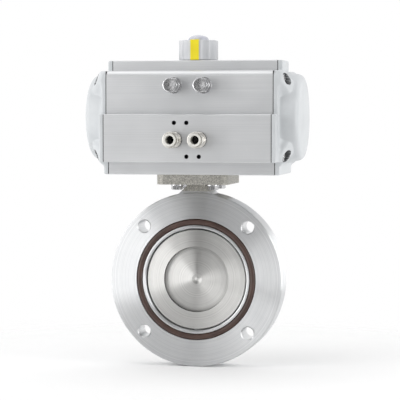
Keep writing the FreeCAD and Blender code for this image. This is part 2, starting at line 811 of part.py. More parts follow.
def seal_groove(radius, height):
    return washer(f"{radius} + 1", f"{radius} - pinion_seal_cord", "Z",
                  f"{height} - ({seal_half_pinion})", f"{height} + {seal_half_pinion}")


socket = ("-sleeve_square / 2 - fixed_gap", "sleeve_square / 2 + fixed_gap")
flats_start = "circlip_z + circlip + 1"
flats_reach = "pinion_neck_radius + 1"
clip_floor = "pinion_neck_radius - 1"
pinion = cut(
    fuse(shaft, gear),
    block(socket, socket, ("pinion_bottom - 1", f"{stem_top} + 3")),
    seal_groove("pinion_foot_radius", "foot_seal_z"),
    seal_groove("pinion_neck_radius", "neck_seal_z"),
    washer("pinion_neck_radius + 1", clip_floor, "Z", "circlip_z", "circlip_z + circlip + 0.1"),
    block((f"-({flats_reach})", flats_reach), ("pinion_flats / 2", flats_reach),
          (flats_start, "pinion_top + 1")),
    block((f"-({flats_reach})", flats_reach), (f"-({flats_reach})", "-pinion_flats / 2"),
          (flats_start, "pinion_top + 1")),
    rod("indicator_screw / 2 + fixed_gap", "Z", "pinion_top - indicator_screw_length", "pinion_top + 1"),
)
piece("pinion", pinion)
piece("pinion_o_rings", group(
    cord_ring("pinion_foot_radius - pinion_seal_cord / 2", "pinion_seal_cord / 2", "Z", "foot_seal_z"),
    cord_ring("pinion_neck_radius - pinion_seal_cord / 2", "pinion_seal_cord / 2", "Z", "neck_seal_z"),
))
piece("pinion_bearing_bottom", washer("foot_bearing_radius", "pinion_foot_radius + running_gap", "Z",
                                      "seat_height + foot_bearing_start", "seat_height + foot_bearing_end"))
piece("pinion_bearing_top", washer("neck_bearing_radius", "pinion_neck_radius + running_gap", "Z",
                                   "body_top - neck_bearing_start", "body_top - neck_bearing_end"))
piece("thrust_washer", washer("neck_bearing_radius + 2", "pinion_neck_radius + screw_gap", "Z",
                              "body_top", "body_top + thrust_washer"))
clip = washer("circlip_diameter / 2", f"{clip_floor} + fixed_gap", "Z", "circlip_z", "circlip_z + circlip")
clip_gap = block(("0", "circlip_diameter"), ("-3", "3"), ("circlip_z - 1", "circlip_z + circlip + 1"))
piece("circlip", cut(clip, clip_gap))
sleeve = ("-sleeve_square / 2", "sleeve_square / 2")
sleeve_hole = ("-stem_square / 2 - fixed_gap", "stem_square / 2 + fixed_gap")
piece("drive_sleeve", cut(
    block(sleeve, sleeve, ("seat_height + 1", f"{stem_top} + 1")),
    block(sleeve_hole, sleeve_hole, ("seat_height", f"{stem_top} + 2")),
))

# Stop cam: its two faces meet the stop bolts when the valve is shut and when it is open.

cam_low = "stop_z - cam_height / 2"
cam_high = "stop_z + cam_height / 2"
cam_sector = padded("XY_Plane", [
    ("-cam_face", "cam_face"),
    ("cam_face", "-cam_face"),
    ("cam_diameter", "-cam_face"),
    ("cam_diameter", "cam_diameter"),
    ("-cam_face", "cam_diameter"),
], "cam_height", z=cam_low)
cam_blank = common(cam_sector, rod("cam_diameter / 2", "Z", cam_low, cam_high))
piece("stop_cam", cut(
    fuse(cam_blank, rod("cam_hub / 2", "Z", cam_low, cam_high)),
    rod("pinion_shaft / 2 + fixed_gap", "Z", f"{cam_low} - 1", f"{cam_high} + 1"),
))

# Pistons: the left one, and the same piece turned half round for the right.


def rack_points(phase):
    """The rack bar's outline; phase is how far, in teeth, a gap stands from the stem's plane."""
    module = number("gear_module")
    pitch = math.pi * module
    line = number("pitch_radius")
    tip = line - 0.9 * module
    root = line + 1.25 * module
    half = pitch / 4 - number("gear_backlash") / 4
    lean_in = math.tan(pressure_angle)
    tip_half = half - (line - tip) * lean_in
    root_half = half + (root - line) * lean_in
    back = number("cylinder_radius")
    end = number("arm_reach")
    start = -number("piston_inner") - 1
    last = int((end - root_half) / pitch - 0.5 - phase)
    points = [(start, back), (start, root)]
    for index in range(-2, last + 1):
        middle = (index + 0.5 + phase) * pitch
        points += [(middle - root_half, root), (middle - tip_half, tip),
                   (middle + tip_half, tip), (middle + root_half, root)]
    return points + [(end, root), (end, back)]


def turned_round(item):
    """The same item turned half a turn about the stem axis."""
    copy = group(item)
    copy.Placement = FreeCAD.Placement(Vector(), FreeCAD.Rotation(Vector(0, 0, 1), 180))
    return copy


band_start = "-piston_inner - guide_band_wall - guide_band_width"
band_end = "-piston_inner - guide_band_wall"
piston_seal_x = "-piston_inner - piston_seal_wall"
piston_seal_half = "piston_seal_cord / 2 + seal_room"
band_floor = "slide_radius - guide_band_depth"
pad_span = ("arm_reach - guide_pad_inset - guide_pad_length", "arm_reach - guide_pad_inset")
pad_height = ("cylinder_z - guide_pad_height / 2", "cylinder_z + guide_pad_height / 2")
pad_floor = "slide_radius - guide_pad_thickness"
pad_back = ("pitch_radius", "cylinder_radius")


def grown(span):
    return f"{span[0]} - fixed_gap", f"{span[1]} + fixed_gap"


pad_slot = common(
    block(grown(pad_span), pad_back, grown(pad_height)),
    washer("cylinder_radius + 1", f"{pad_floor} - fixed_gap", "X", "-arm_reach", "arm_reach + 1", cap_axis),
)


def rack_piston(phase):
    """A left piston: a round head with seal and band grooves and a rack arm reaching inwards."""
    arm_bar = doc.addObject("Part::Feature", "ArmBar")
    arm_bar.Shape = solid_from(rack_points(phase), number("gear_bottom"), number("gear_top"))
    arm = common(arm_bar, rod("cylinder_radius - arm_back_gap", "X", "-piston_outer", "piston_outer",
                              cap_axis))
    return cut(
        fuse(rod("piston_radius", "X", "-piston_outer", "-piston_inner", cap_axis), arm),
        rod("piston_cup / 2", "X", "-piston_outer - 1", "-piston_outer + piston_cup_depth", cap_axis),
        washer("cylinder_radius", f"{band_floor} - fixed_gap", "X", f"{band_start} - fixed_gap",
               f"{band_end} + fixed_gap", cap_axis),
        washer("cylinder_radius", "slide_radius - piston_seal_cord", "X",
               f"{piston_seal_x} - ({piston_seal_half})", f"{piston_seal_x} + {piston_seal_half}",
               cap_axis),
        pad_slot,
    )


# A tooth of the pinion stands on +X, so the nearest gap of each rack is a share of a tooth away.
teeth = sizes["gear_teeth"]
piece("piston_left", rack_piston(teeth / 4 % 1))
piece("piston_right", turned_round(rack_piston(teeth * 3 / 4 % 1)))
guide_band = washer("slide_radius", band_floor, "X", band_start, band_end, cap_axis)
piston_seal = cord_ring("slide_radius - piston_seal_cord / 2", "piston_seal_cord / 2", "X",
                        piston_seal_x, cap_axis)
guide_pad = common(block(pad_span, pad_back, pad_height),
                   washer("slide_radius", pad_floor, "X", "-arm_reach", "arm_reach", cap_axis))
for label, item in (("piston_guide_band", guide_band), ("piston_o_ring", piston_seal),
                    ("rack_guide_pad", guide_pad)):
    piece(label + "_left", item)
    piece(label + "_right", turned_round(item))

# Travel stops.

nut_back = "-panel_depth - stop_washer"
for side, x in stop_places.items():
    at = (x, "stop_z")
    bolt = fuse(
        rod("stop_radius", "Y", "stop_head_back - 0.5", "-stop_tip", at),
        hexagon("stop_flats", "Y", "stop_head_back - stop_head", "stop_head_back", at),
    )
    piece("stop_bolt_" + side, bolt)
piece("stop_nuts", group(*[
    cut(hexagon("stop_flats", "Y", f"{nut_back} - stop_nut", nut_back, (x, "stop_z")),
        rod("stop_radius + running_gap", "Y", f"{nut_back} - stop_nut - 1", nut_back, (x, "stop_z")))
    for x in stop_places.values()
]))
piece("stop_seal_washers", group(*[
    washer("stop_washer_diameter / 2", "stop_radius + running_gap", "Y", nut_back, "-panel_depth",
           (x, "stop_z"))
    for x in stop_places.values()
]))

# Push-in air fittings, each with a release ring that slides in to let the tube go.

tube_radius = "tube_diameter / 2"
for side, x in port_places.items():
    at = (x, "port_z")
    fitting = cut(
        fuse(rod("port_thread / 2", "Y", "fitting_start - 0.5", "-port_face + port_thread_depth", at),
             hexagon("fitting_flats", "Y", "fitting_start - fitting_hex", "fitting_start", at),
             rod("fitting_neck / 2", "Y", "fitting_end + 1", "fitting_start - fitting_hex + 0.5", at),
             rod("fitting_diameter / 2", "Y", "fitting_end", "fitting_end + fitting_ring", at)),
        rod("fitting_channel / 2", "Y", "fitting_end", "-port_face + port_thread_depth + 1", at),
        rod(tube_radius, "Y", "fitting_end - 1", "fitting_end + tube_depth", at),
        rod("collet_diameter / 2 + running_gap", "Y", "fitting_end - 1", "fitting_end + collet_pocket", at),
    )
    piece("air_fitting_" + side, fitting)
    collet_front = "fitting_end - collet_travel - collet_head_depth"
    collet_back = "fitting_end + collet_pocket - collet_travel - screw_gap"
    collet = cut(
        fuse(rod("collet_diameter / 2", "Y", collet_front, collet_back, at),
             rod("collet_head / 2", "Y", collet_front, f"{collet_front} + collet_head_depth - 0.1", at)),
        rod(tube_radius, "Y", f"{collet_front} - 1", "fitting_end + collet_pocket", at),
    )
    piece("collet_" + side, collet)
piece("fitting_washers", group(*[
    washer("fitting_diameter / 2", "port_thread / 2 + fixed_gap", "Y", "fitting_start", "-port_face",
           (x, "port_z"))
    for x in port_places.values()
]))

# Position indicator on top of the pinion.

rib_angles = [360 * (index + 0.5) / sizes["knob_ribs"] for index in range(sizes["knob_ribs"])]
flutes = [rod("knob_rib_round", "Z", "knob_bottom - 1", "knob_top + 1",
              (f"(knob_radius + knob_rib_lift) * cos({angle})",
               f"(knob_radius + knob_rib_lift) * sin({angle})"))
          for angle in rib_angles]
stripe = ("-pointer_width / 2", "pointer_width / 2")
stripe_slot = ("-pointer_width / 2 - fixed_gap", "pointer_width / 2 + fixed_gap")
pointer_front = ("-knob_radius", "-knob_radius + pointer_depth")
pointer_top = ("-knob_radius", "-indicator_cap / 2")
knob_hole = common(
    rod("pinion_neck_radius + fixed_gap", "Z", "knob_bottom", "pinion_top + fixed_gap"),
    block(("-knob_radius", "knob_radius"), ("-pinion_flats / 2 - fixed_gap", "pinion_flats / 2 + fixed_gap"),
          ("knob_bottom", "knob_top")),
)
screw_seat = "pinion_top + indicator_screw_seat"
knob = cut(
    rod("knob_radius", "Z", "knob_bottom", "knob_top"),
    *flutes,
    rod("knob_skirt / 2", "Z", "knob_bottom - 1", "knob_bottom + knob_skirt_depth"),
    knob_hole,
    rod("indicator_screw / 2 + screw_gap", "Z", "pinion_top", "knob_top"),
    rod("indicator_screw_head / 2 + head_gap", "Z", screw_seat, "knob_top + 1"),
    block(stripe_slot, ("-knob_radius - 1", "-knob_radius + pointer_depth + fixed_gap"),
          ("knob_bottom - 1", "knob_top + 1")),
    block(stripe_slot, ("-knob_radius - 1", "-indicator_cap / 2 + fixed_gap"),
          ("knob_top - pointer_depth - fixed_gap", "knob_top + 1")),
)
piece("indicator_knob", knob)
piece("indicator_pointer", fuse(
    block(stripe, pointer_front, ("knob_bottom", "knob_top")),
    block(stripe, pointer_top, ("knob_top - pointer_depth", "knob_top")),
))
screw_top = f"{screw_seat} + indicator_screw_height"
piece("indicator_screw", cut(
    fuse(rod("indicator_screw / 2", "Z", "pinion_top - indicator_screw_length + 1", screw_top),
         rod("indicator_screw_head / 2", "Z", screw_seat, screw_top)),
    hexagon("indicator_screw * 0.8", "Z", f"{screw_top} - 1.8", f"{screw_top} + 1"),
))
dome_radius = "((indicator_cap / 2) ^ 2 + indicator_cap_height ^ 2) / (2 * indicator_cap_height)"
dome = doc.addObject("Part::Sphere", "Dome")
bind(dome, Radius=dome_radius)
dome.setExpression("Placement.Base.z", bound(f"knob_top + indicator_cap_height - {dome_radius}"))
piece("indicator_cap", common(dome, rod("indicator_cap / 2", "Z", "knob_top", "knob_top + indicator_cap")))

# Recompute, check every object, then write one file for each piece.

doc.recompute()
for item in doc.Objects:
    if "Invalid" in item.State or "Error" in item.State:
        raise RuntimeError(f"{item.Label} did not compute: {item.State}")
for item in pieces:
    if item.Shape.isNull() or not item.Shape.isValid() or not item.Shape.Solids:
        raise RuntimeError(f"{item.Label} has no valid solid")
os.makedirs("parts", exist_ok=True)
for item in pieces:
    item.Shape.exportStep(f"parts/{item.Label}.step")
print(len(pieces), "pieces written")
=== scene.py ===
import json
import math
import bmesh
import bpy
import numpy as np
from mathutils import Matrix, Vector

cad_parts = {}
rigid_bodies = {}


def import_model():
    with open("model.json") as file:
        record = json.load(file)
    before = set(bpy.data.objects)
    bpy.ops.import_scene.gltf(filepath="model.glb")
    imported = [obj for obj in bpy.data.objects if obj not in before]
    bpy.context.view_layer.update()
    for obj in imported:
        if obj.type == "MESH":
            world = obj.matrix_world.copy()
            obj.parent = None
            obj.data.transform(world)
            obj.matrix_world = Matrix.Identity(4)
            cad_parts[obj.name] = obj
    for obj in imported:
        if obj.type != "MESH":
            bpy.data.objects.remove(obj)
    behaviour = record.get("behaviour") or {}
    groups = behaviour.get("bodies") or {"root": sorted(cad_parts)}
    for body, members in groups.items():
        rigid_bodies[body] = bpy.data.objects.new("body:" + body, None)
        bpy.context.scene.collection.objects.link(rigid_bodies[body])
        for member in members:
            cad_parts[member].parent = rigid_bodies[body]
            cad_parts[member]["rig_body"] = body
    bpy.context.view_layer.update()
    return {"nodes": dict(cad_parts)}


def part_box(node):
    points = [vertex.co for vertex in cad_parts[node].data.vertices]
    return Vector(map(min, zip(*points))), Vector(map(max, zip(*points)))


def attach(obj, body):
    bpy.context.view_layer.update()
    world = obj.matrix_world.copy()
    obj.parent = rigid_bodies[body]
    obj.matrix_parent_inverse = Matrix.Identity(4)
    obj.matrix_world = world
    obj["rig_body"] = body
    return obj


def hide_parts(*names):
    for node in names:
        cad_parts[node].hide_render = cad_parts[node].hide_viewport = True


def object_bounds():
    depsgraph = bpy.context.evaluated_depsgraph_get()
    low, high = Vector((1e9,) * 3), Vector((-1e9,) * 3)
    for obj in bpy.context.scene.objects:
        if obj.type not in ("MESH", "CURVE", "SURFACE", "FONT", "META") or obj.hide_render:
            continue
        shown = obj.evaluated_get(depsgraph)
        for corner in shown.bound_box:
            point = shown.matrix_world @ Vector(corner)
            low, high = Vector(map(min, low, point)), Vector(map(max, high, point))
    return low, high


# A butterfly valve with a pneumatic quarter-turn actuator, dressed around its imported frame.
# Metres. The pipe runs along Y, the stem along Z.

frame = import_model()
nodes = frame["nodes"]
tiny = {"apart": 1e-9, "same": 1e-6, "weld": 1e-7}
print("stage: frame loaded,", len(nodes), "nodes")


# Quad (i, j), (i, j + 1), (i + 1, j + 1), (i + 1, j) for every row i and column j; columns wrap round.
def gridFaces(rows, columns, ring):
    i, j = np.meshgrid(np.arange(rows if ring else rows - 1), np.arange(columns), indexing="ij")
    below, beside = (i + 1) % rows, (j + 1) % columns
    corners = (i * columns + j, i * columns + beside, below * columns + beside, below * columns + j)
    return np.stack(corners, -1).reshape(-1, 4)


# Each corner c becomes (1 - s)^2 (c + r u) + 2 s (1 - s) c + s^2 (c + r v), where u and v point at its
# neighbours and r is its softness, or "share" of the way to the nearer one where that is less.
def softCorners(corners, softness, steps=6, closed=False, share=0.45):
    corners = np.array(corners, float)
    back, ahead = np.roll(corners, 1, 0) - corners, np.roll(corners, -1, 0) - corners
    backLength, aheadLength = (np.linalg.norm(side, axis=1, keepdims=True) for side in (back, ahead))
    reach = np.minimum(np.broadcast_to(softness, len(corners))[:, None],
                       share * np.minimum(backLength, aheadLength))
    if not closed:
        reach[[0, -1]] = 0
    s = np.linspace(0, 1, steps)[:, None, None]
    curve = ((1 - s) ** 2 * (corners + reach * back / backLength) + 2 * s * (1 - s) * corners
             + s ** 2 * (corners + reach * ahead / aheadLength))
    points = curve.transpose(1, 0, 2).reshape(-1, 2)
    return points[steps - 1:len(points) - steps + 1] if not closed else points


# Points every "spacing" along a line of points, with its own points kept; none closer than "closest" of it.
def refine(points, spacing, closest=0.05):
    length = np.r_[0, np.cumsum(np.linalg.norm(np.diff(points, axis=0), axis=1))]
    keep = np.r_[True, np.diff(length) > tiny["apart"]]
    stops = np.union1d(length[keep], np.arange(0, length[-1], spacing))
    stops = stops[np.r_[True, np.diff(stops) > spacing * closest]]
    return np.stack([np.interp(stops, length[keep], points[keep, axis]) for axis in (0, 1)], 1)


# Radius of a hexagon at an angle: half its flats over cos(angle mod 60 - 30 degrees).
def hexRadius(angle, flats):
    return flats / 2 / np.cos(np.mod(angle, math.pi / 3) - math.pi / 6)


# Point (radius cos a, radius sin a) carried along an axis through centre.
# reshape(radius, a, along) may give a radius of its own.
def turn(profile, axis, centre, columns=96, reshape=None):
    angle = np.arange(columns) * 2 * math.pi / columns
    radius, angle = np.meshgrid(profile[:, 0], angle, indexing="ij")
    along = np.broadcast_to(profile[:, 1][:, None], radius.shape)
    if reshape:
        radius = reshape(radius, angle, along)
    across = (radius * np.cos(angle), radius * np.sin(angle))
    places = {"x": (along, *across), "y": (across[0], along, across[1]), "z": (*across, along)}[axis]
    return np.stack(places, -1) + np.array(centre, float)


# One mesh from several grids of points; seams and poles are merged and the faces turned outwards.
def addPiece(name, grids, body, finish, ring=False, sharp=35):
    points, faces, start = [], [], 0
    for grid in grids:
        points.append(grid.reshape(-1, 3))
        faces.append(gridFaces(*grid.shape[:2], ring) + start)
        start += len(points[-1])
    mesh = bpy.data.meshes.new(name)
    mesh.from_pydata(np.vstack(points).tolist(), [], np.vstack(faces).tolist())
    shell = bmesh.new()
    shell.from_mesh(mesh)
    bmesh.ops.remove_doubles(shell, verts=shell.verts, dist=tiny["weld"])
    bmesh.ops.recalc_face_normals(shell, faces=shell.faces)
    shell.to_mesh(mesh)
    shell.free()
    mesh.polygons.foreach_set("use_smooth", np.ones(len(mesh.polygons), bool))
    mesh.set_sharp_from_angle(angle=math.radians(sharp))
    piece = bpy.data.objects.new(name, mesh)
    bpy.context.scene.collection.objects.link(piece)
    mesh.materials.append(finish)
    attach(piece, body)
    return piece


# The same for a piece that stands for a CAD node, on its body and with its slot.
def makePiece(name, grids, node, finish, ring=False, sharp=35):
    piece = addPiece(name, grids, nodes[node]["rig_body"], finish, ring, sharp)
    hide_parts(node)
    return piece


# A node with its settings and inputs; an input that is a socket is linked, anything else is its value.
def addNode(tree, kind, inputs=None, **settings):
    node = tree.nodes.new("ShaderNode" + kind)
    for name, value in settings.items():
        setattr(node, name, value)
    for socket, value in (inputs or {}).items():
        if isinstance(value, bpy.types.NodeSocket):
            tree.links.new(value, node.inputs[socket])
        else:
            node.inputs[socket].default_value = value
    return node


# The result of one Math node.
def calc(tree, operation, first, second=0.0, clamp=False):
    return addNode(tree, "Math", {0: first, 1: second}, operation=operation, use_clamp=clamp).outputs[0]


# A new material, its node tree and its shader; an underscore in a name stands for a space.
def startFinish(name, **values):
    material = bpy.data.materials.new(name)
    material.use_nodes = True
    shader = material.node_tree.nodes["Principled BSDF"]
    for socket, value in values.items():
        shader.inputs[socket.replace("_", " ")].default_value = value
    return material, material.node_tree, shader


# Noise over object coordinates, each axis scaled by itself so that it can be drawn out into lines.
def grain(tree, scale, detail=3.0, roughness=0.6):
    place = addNode(tree, "TexCoord").outputs["Object"]
    scaled = addNode(tree, "Mapping", {"Vector": place, "Scale": scale}).outputs[0]
    return addNode(tree, "TexNoise", {"Vector": scaled, "Scale": 1.0, "Detail": detail,
                                      "Roughness": roughness}).outputs[0]


# A value from fromLow to fromHigh carried in proportion to low to high.
def spread(tree, value, low, high, fromLow=0.3, fromHigh=0.7):
    return addNode(tree, "MapRange", {0: value, 1: fromLow, 2: fromHigh, 3: low, 4: high}).outputs[0]


# The colour a share "value" of the way from dark to light.
def tint(tree, value, dark, light):
    return addNode(tree, "Mix", {0: value, 6: (*dark, 1), 7: (*light, 1)}, data_type="RGBA").outputs[2]


# Height as a bump on the surface's normal, or on the one given.
def bump(tree, shader, height, strength, distance, normal=None):
    raised = addNode(tree, "Bump", {"Height": height, "Strength": strength, "Distance": distance})
    if normal:
        tree.links.new(normal, raised.inputs["Normal"])
    tree.links.new(raised.outputs[0], shader.inputs["Normal"])


# The mean of two patterns, as a half of each.
def halves(tree, first, second):
    return calc(tree, "ADD", calc(tree, "MULTIPLY", first, 0.5), calc(tree, "MULTIPLY", second, 0.5))


# Extruded and anodised: fine lines drawn along X, with slow clouding in the dye.
def anodised():
    look = {"dark": (0.57, 0.58, 0.59), "light": (0.69, 0.695, 0.705), "lines": (9, 1500, 1500), "cloud": 16,
            "lineShare": 0.45, "cloudShare": 0.55, "smooth": 0.36, "rough": 0.50, "bump": 0.22,
            "depth": 0.00008}
    material, tree, shader = startFinish("anodisedDrawn", Metallic=0.55, Specular_IOR_Level=0.45)
    lines = grain(tree, look["lines"], 4)
    cloud = grain(tree, (look["cloud"],) * 3, 2)
    mixed = calc(tree, "MULTIPLY_ADD", lines, look["lineShare"])
    tree.links.new(calc(tree, "MULTIPLY", cloud, look["cloudShare"]), mixed.node.inputs[2])
    tone = spread(tree, mixed, 0, 1)
    tree.links.new(tint(tree, tone, look["dark"], look["light"]), shader.inputs["Base Color"])
    tree.links.new(spread(tree, lines, look["smooth"], look["rough"]), shader.inputs["Roughness"])
    bump(tree, shader, lines, look["bump"], look["depth"])
    return material


# Powder coat over a casting: faint orange peel and soft clouds.
# Inside the screw recesses, marked by a point attribute, the paint gives way to a near-black colour: painted
# shade for the hollows.
def powderCoat():
    look = {"dark": (0.54, 0.56, 0.575), "light": (0.62, 0.64, 0.655), "peel": 850, "cloud": 30,
            "recessShade": (0.055, 0.057, 0.060), "smooth": 0.36, "rough": 0.46, "bump": 0.18, "depth": 0.00012}
    material, tree, shader = startFinish("powderCoat", Coat_Weight=0.15, Coat_Roughness=0.25,
                                         Specular_IOR_Level=0.5)
    peel = grain(tree, (look["peel"],) * 3, 2)
    cloud = grain(tree, (look["cloud"],) * 3, 4)
    paint = tint(tree, spread(tree, cloud, 0, 1), look["dark"], look["light"])
    # Painted shade: the recess mask swaps the paint for a near-black colour.
    shadedRecess = addNode(tree, "Attribute", attribute_name="shadedRecess").outputs["Fac"]
    colour = addNode(tree, "Mix", {0: shadedRecess, 6: paint, 7: (*look["recessShade"], 1)}, data_type="RGBA").outputs[2]
    tree.links.new(colour, shader.inputs["Base Color"])
    tree.links.new(spread(tree, peel, look["smooth"], look["rough"]), shader.inputs["Roughness"])
    bump(tree, shader, peel, look["bump"], look["depth"])
    return material


# wallShadeReach, steepFrom and steepTo set where the painted wall shade falls.
turning = {"ring": 900, "fineRing": 4200, "cloud": 28, "glossSpread": 0.1, "ringShare": 0.10, "bump": 0.5,
           "depth": 0.0004, "crown": 0.15, "tilt": 0.15, "wallShadeReach": 0.036, "steepFrom": 0.4,
           "steepTo": 0.99}
castSkin = {"dark": (0.19, 0.182, 0.165), "light": (0.78, 0.76, 0.70), "grain": 1100, "low": 0.35,
            "high": 0.65, "rough": 0.72, "dull": 0.45, "fade": 0.0008, "aboveSeal": 0.0265}


# Rings about the Y axis: noise along one line, read at distance times "density".
def ringNoise(tree, radius, density, detail):
    return addNode(tree, "TexNoise", {"W": calc(tree, "MULTIPLY", radius, density), "Scale": 1.0,
                                      "Detail": detail}, noise_dimensions="1D").outputs[0]


# The result of one Vector Math node.
def vectorCalc(tree, operation, inputs):
    return addNode(tree, "VectorMath", inputs, operation=operation).outputs[0]


# A direction in the object's space turned into the world's.
def toWorld(tree, vector):
    return addNode(tree, "VectorTransform", {0: vector}, vector_type="VECTOR", convert_from="OBJECT",
                   convert_to="WORLD").outputs[0]


# Painted shade: steep walls near the axis lose the share "corner" of their colour, standing in for the shade
# in the disc's recess; flat faces across Y keep all of it.
def paintWallShade(tree, colour, radius, corner):
    facing = addNode(tree, "SeparateXYZ", {0: addNode(tree, "TexCoord").outputs["Normal"]}).outputs[1]
    steep = addNode(tree, "MapRange", {0: calc(tree, "ABSOLUTE", facing), 1: turning["steepFrom"],
                                       2: turning["steepTo"], 3: corner, 4: 0.0}).outputs[0]
    inside = calc(tree, "LESS_THAN", radius, turning["wallShadeReach"])
    shade = calc(tree, "SUBTRACT", 1.0, calc(tree, "MULTIPLY", steep, inside))
    return vectorCalc(tree, "SCALE", {0: colour, "Scale": shade})


# Turned on a lathe about Y: rings set by distance from the axis, gloss stretched across the rings.
# Above castFrom the same casting keeps its rough skin. The normal leans outwards by "crown". With "corner"
# its steep walls near the axis get painted shade.
def turned(name, dark, light, gloss, castFrom=None, corner=0.0):
    look = turning
    material, tree, shader = startFinish(name, Metallic=1.0, Anisotropic=1.0)
    place = addNode(tree, "TexCoord").outputs["Object"]
    split = addNode(tree, "SeparateXYZ", {0: place})
    squares = [calc(tree, "MULTIPLY", split.outputs[axis], split.outputs[axis]) for axis in (0, 2)]
    radius = calc(tree, "SQRT", calc(tree, "ADD", *squares))
    rings = ringNoise(tree, radius, look["ring"], 2.0)
    fineRings = ringNoise(tree, radius, look["fineRing"], 1.0)
    cloud = grain(tree, (look["cloud"],) * 3, 3)
    colour = tint(tree, spread(tree, halves(tree, rings, cloud), 0, 1), dark, light)
    rough = spread(tree, halves(tree, fineRings, cloud), gloss, gloss + look["glossSpread"])
    height = calc(tree, "MULTIPLY", calc(tree, "ADD", rings, fineRings), look["ringShare"])
    # Painted shade on the steep walls near the axis, by the share "corner".
    if corner:
        colour = paintWallShade(tree, colour, radius, corner)
    if castFrom:
        cast = addNode(tree, "MapRange", {0: split.outputs[2], 1: castFrom,
                                          2: castFrom + castSkin["fade"]}).outputs[0]
        skin = grain(tree, (castSkin["grain"],) * 3, 6, 0.75)
        skinColour = tint(tree, spread(tree, skin, 0, 1, castSkin["low"], castSkin["high"]), castSkin["dark"],
                          castSkin["light"])
        colour = addNode(tree, "Mix", {0: cast, 6: colour, 7: skinColour}, data_type="RGBA").outputs[2]
        rough = addNode(tree, "Mix", {0: cast, 2: rough, 3: castSkin["rough"]}).outputs[0]
        height = addNode(tree, "Mix", {0: cast, 2: height, 3: skin}).outputs[0]
        metal = calc(tree, "SUBTRACT", 1.0, calc(tree, "MULTIPLY", cast, castSkin["dull"]))
        tree.links.new(metal, shader.inputs["Metallic"])
    tree.links.new(colour, shader.inputs["Base Color"])
    tree.links.new(rough, shader.inputs["Roughness"])
    outward = vectorCalc(tree, "NORMALIZE", {0: vectorCalc(tree, "MULTIPLY", {0: place, 1: (1, 0, 1)})})
    crown = toWorld(tree, vectorCalc(tree, "SCALE", {0: outward, "Scale": look["crown"]}))
    leaned = vectorCalc(tree, "ADD", {0: addNode(tree, "NewGeometry").outputs["Normal"], 1: crown})
    bump(tree, shader, height, look["bump"], look["depth"], vectorCalc(tree, "NORMALIZE", {0: leaned}))
    tilted = vectorCalc(tree, "ADD", {0: outward, 1: (0, look["tilt"], 0)})
    tree.links.new(toWorld(tree, tilted), shader.inputs["Tangent"])
    return material


# Plated or bare machine parts: a little cloud in the plate, tool lines as small bumps.
def plated(name, dark, light, gloss, scale=220, metallic=1.0):
    look = {"across": 3, "along": 14, "glossSpread": 0.14, "bump": 0.12, "depth": 0.00006}
    material, tree, shader = startFinish(name, Metallic=metallic)
    cloud = grain(tree, (scale,) * 3, 4)
    scratch = grain(tree, (scale * look["across"], scale * look["along"], scale * look["across"]), 3)
    tree.links.new(tint(tree, spread(tree, cloud, 0, 1), dark, light), shader.inputs["Base Color"])
    tree.links.new(spread(tree, scratch, gloss, gloss + look["glossSpread"]), shader.inputs["Roughness"])
    bump(tree, shader, scratch, look["bump"], look["depth"])
    return material


# Moulded rubber or plastic: even colour with a fine moulded grain.
def moulded(name, dark, light, gloss, scale=600, strength=0.15, **values):
    material, tree, shader = startFinish(name, **values)
    look = {"cloudShare": 12, "glossSpread": 0.12, "depth": 0.0001}
    fine = grain(tree, (scale,) * 3, 3)
    cloud = grain(tree, (scale / look["cloudShare"],) * 3, 2)
    tree.links.new(tint(tree, spread(tree, cloud, 0, 1), dark, light), shader.inputs["Base Color"])
    tree.links.new(spread(tree, fine, gloss, gloss + look["glossSpread"]), shader.inputs["Roughness"])
    bump(tree, shader, fine, strength, look["depth"])
    return material


# The flange's machined rim ends a set distance above the front seal; each finish has dark, light and gloss.
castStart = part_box("face_seal_front")[1].z + castSkin["aboveSeal"]
finishes = {
    "valve_metal": turned("turnedBody", (0.64, 0.65, 0.66), (0.82, 0.825, 0.83), 0.33, castStart),
    # The disc gets painted shade on its steep recess walls (corner=0.8).
    "disc_metal": turned("turnedDisc", (0.61, 0.605, 0.59), (0.80, 0.795, 0.775), 0.33, corner=0.8),
    "stem_metal": plated("groundStem", (0.55, 0.55, 0.55), (0.70, 0.70, 0.70), 0.2),
    "fastener_metal": plated("brightScrew", (0.42, 0.42, 0.43), (0.72, 0.72, 0.73), 0.16, 500),
    "anodised_metal": anodised(),
    "cap_paint": powderCoat(),
    "piston_metal": plated("castPiston", (0.45, 0.46, 0.47), (0.62, 0.63, 0.64), 0.35),
    "gear_metal": plated("nickelGear", (0.34, 0.34, 0.35), (0.52, 0.52, 0.53), 0.28),
    "bush_metal": plated("bronzeBush", (0.42, 0.28, 0.13), (0.60, 0.42, 0.22), 0.3),
    "nickel_plate": plated("nickelPlate", (0.60, 0.58, 0.54), (0.82, 0.80, 0.76), 0.22, 160),
    "brown_rubber": moulded("brownRubber", (0.040, 0.020, 0.015), (0.075, 0.040, 0.030), 0.38, 900),
    "black_rubber": moulded("blackRubber", (0.012, 0.012, 0.012), (0.030, 0.030, 0.030), 0.42, 900),
    "bearing_plastic": moulded("bearingPlastic", (0.55, 0.53, 0.47), (0.68, 0.66, 0.60), 0.45),
    "collet_plastic": moulded("colletFace", (0.66, 0.65, 0.61), (0.80, 0.79, 0.75), 0.3, 500, 0.08),
    "knob_plastic": moulded("knobPlastic", (0.50, 0.51, 0.53), (0.60, 0.61, 0.63), 0.32, 400, 0.08,
                            Coat_Weight=0.3, Coat_Roughness=0.12),
    "pointer_plastic": moulded("pointerPlastic", (0.80, 0.66, 0.01), (0.92, 0.78, 0.02), 0.35, 400, 0.06),
}
# Painted shade: the tapped holes' linings are near black, standing in for the shade inside the holes.
holeShadeFinish = plated("threadHoleShade", (0.05, 0.05, 0.055), (0.14, 0.14, 0.15), 0.4, 900)
domeFinish = moulded("clearDome", (0.46, 0.47, 0.53), (0.54, 0.55, 0.62), 0.14, 300, 0.03, Coat_Weight=0.5,
                     Coat_Roughness=0.05)
for node in nodes.values():
    for materialSlot in node.material_slots:
        materialSlot.material = finishes[materialSlot.material.name.split(".")[0]]
print("stage: finishes made,", len(finishes))


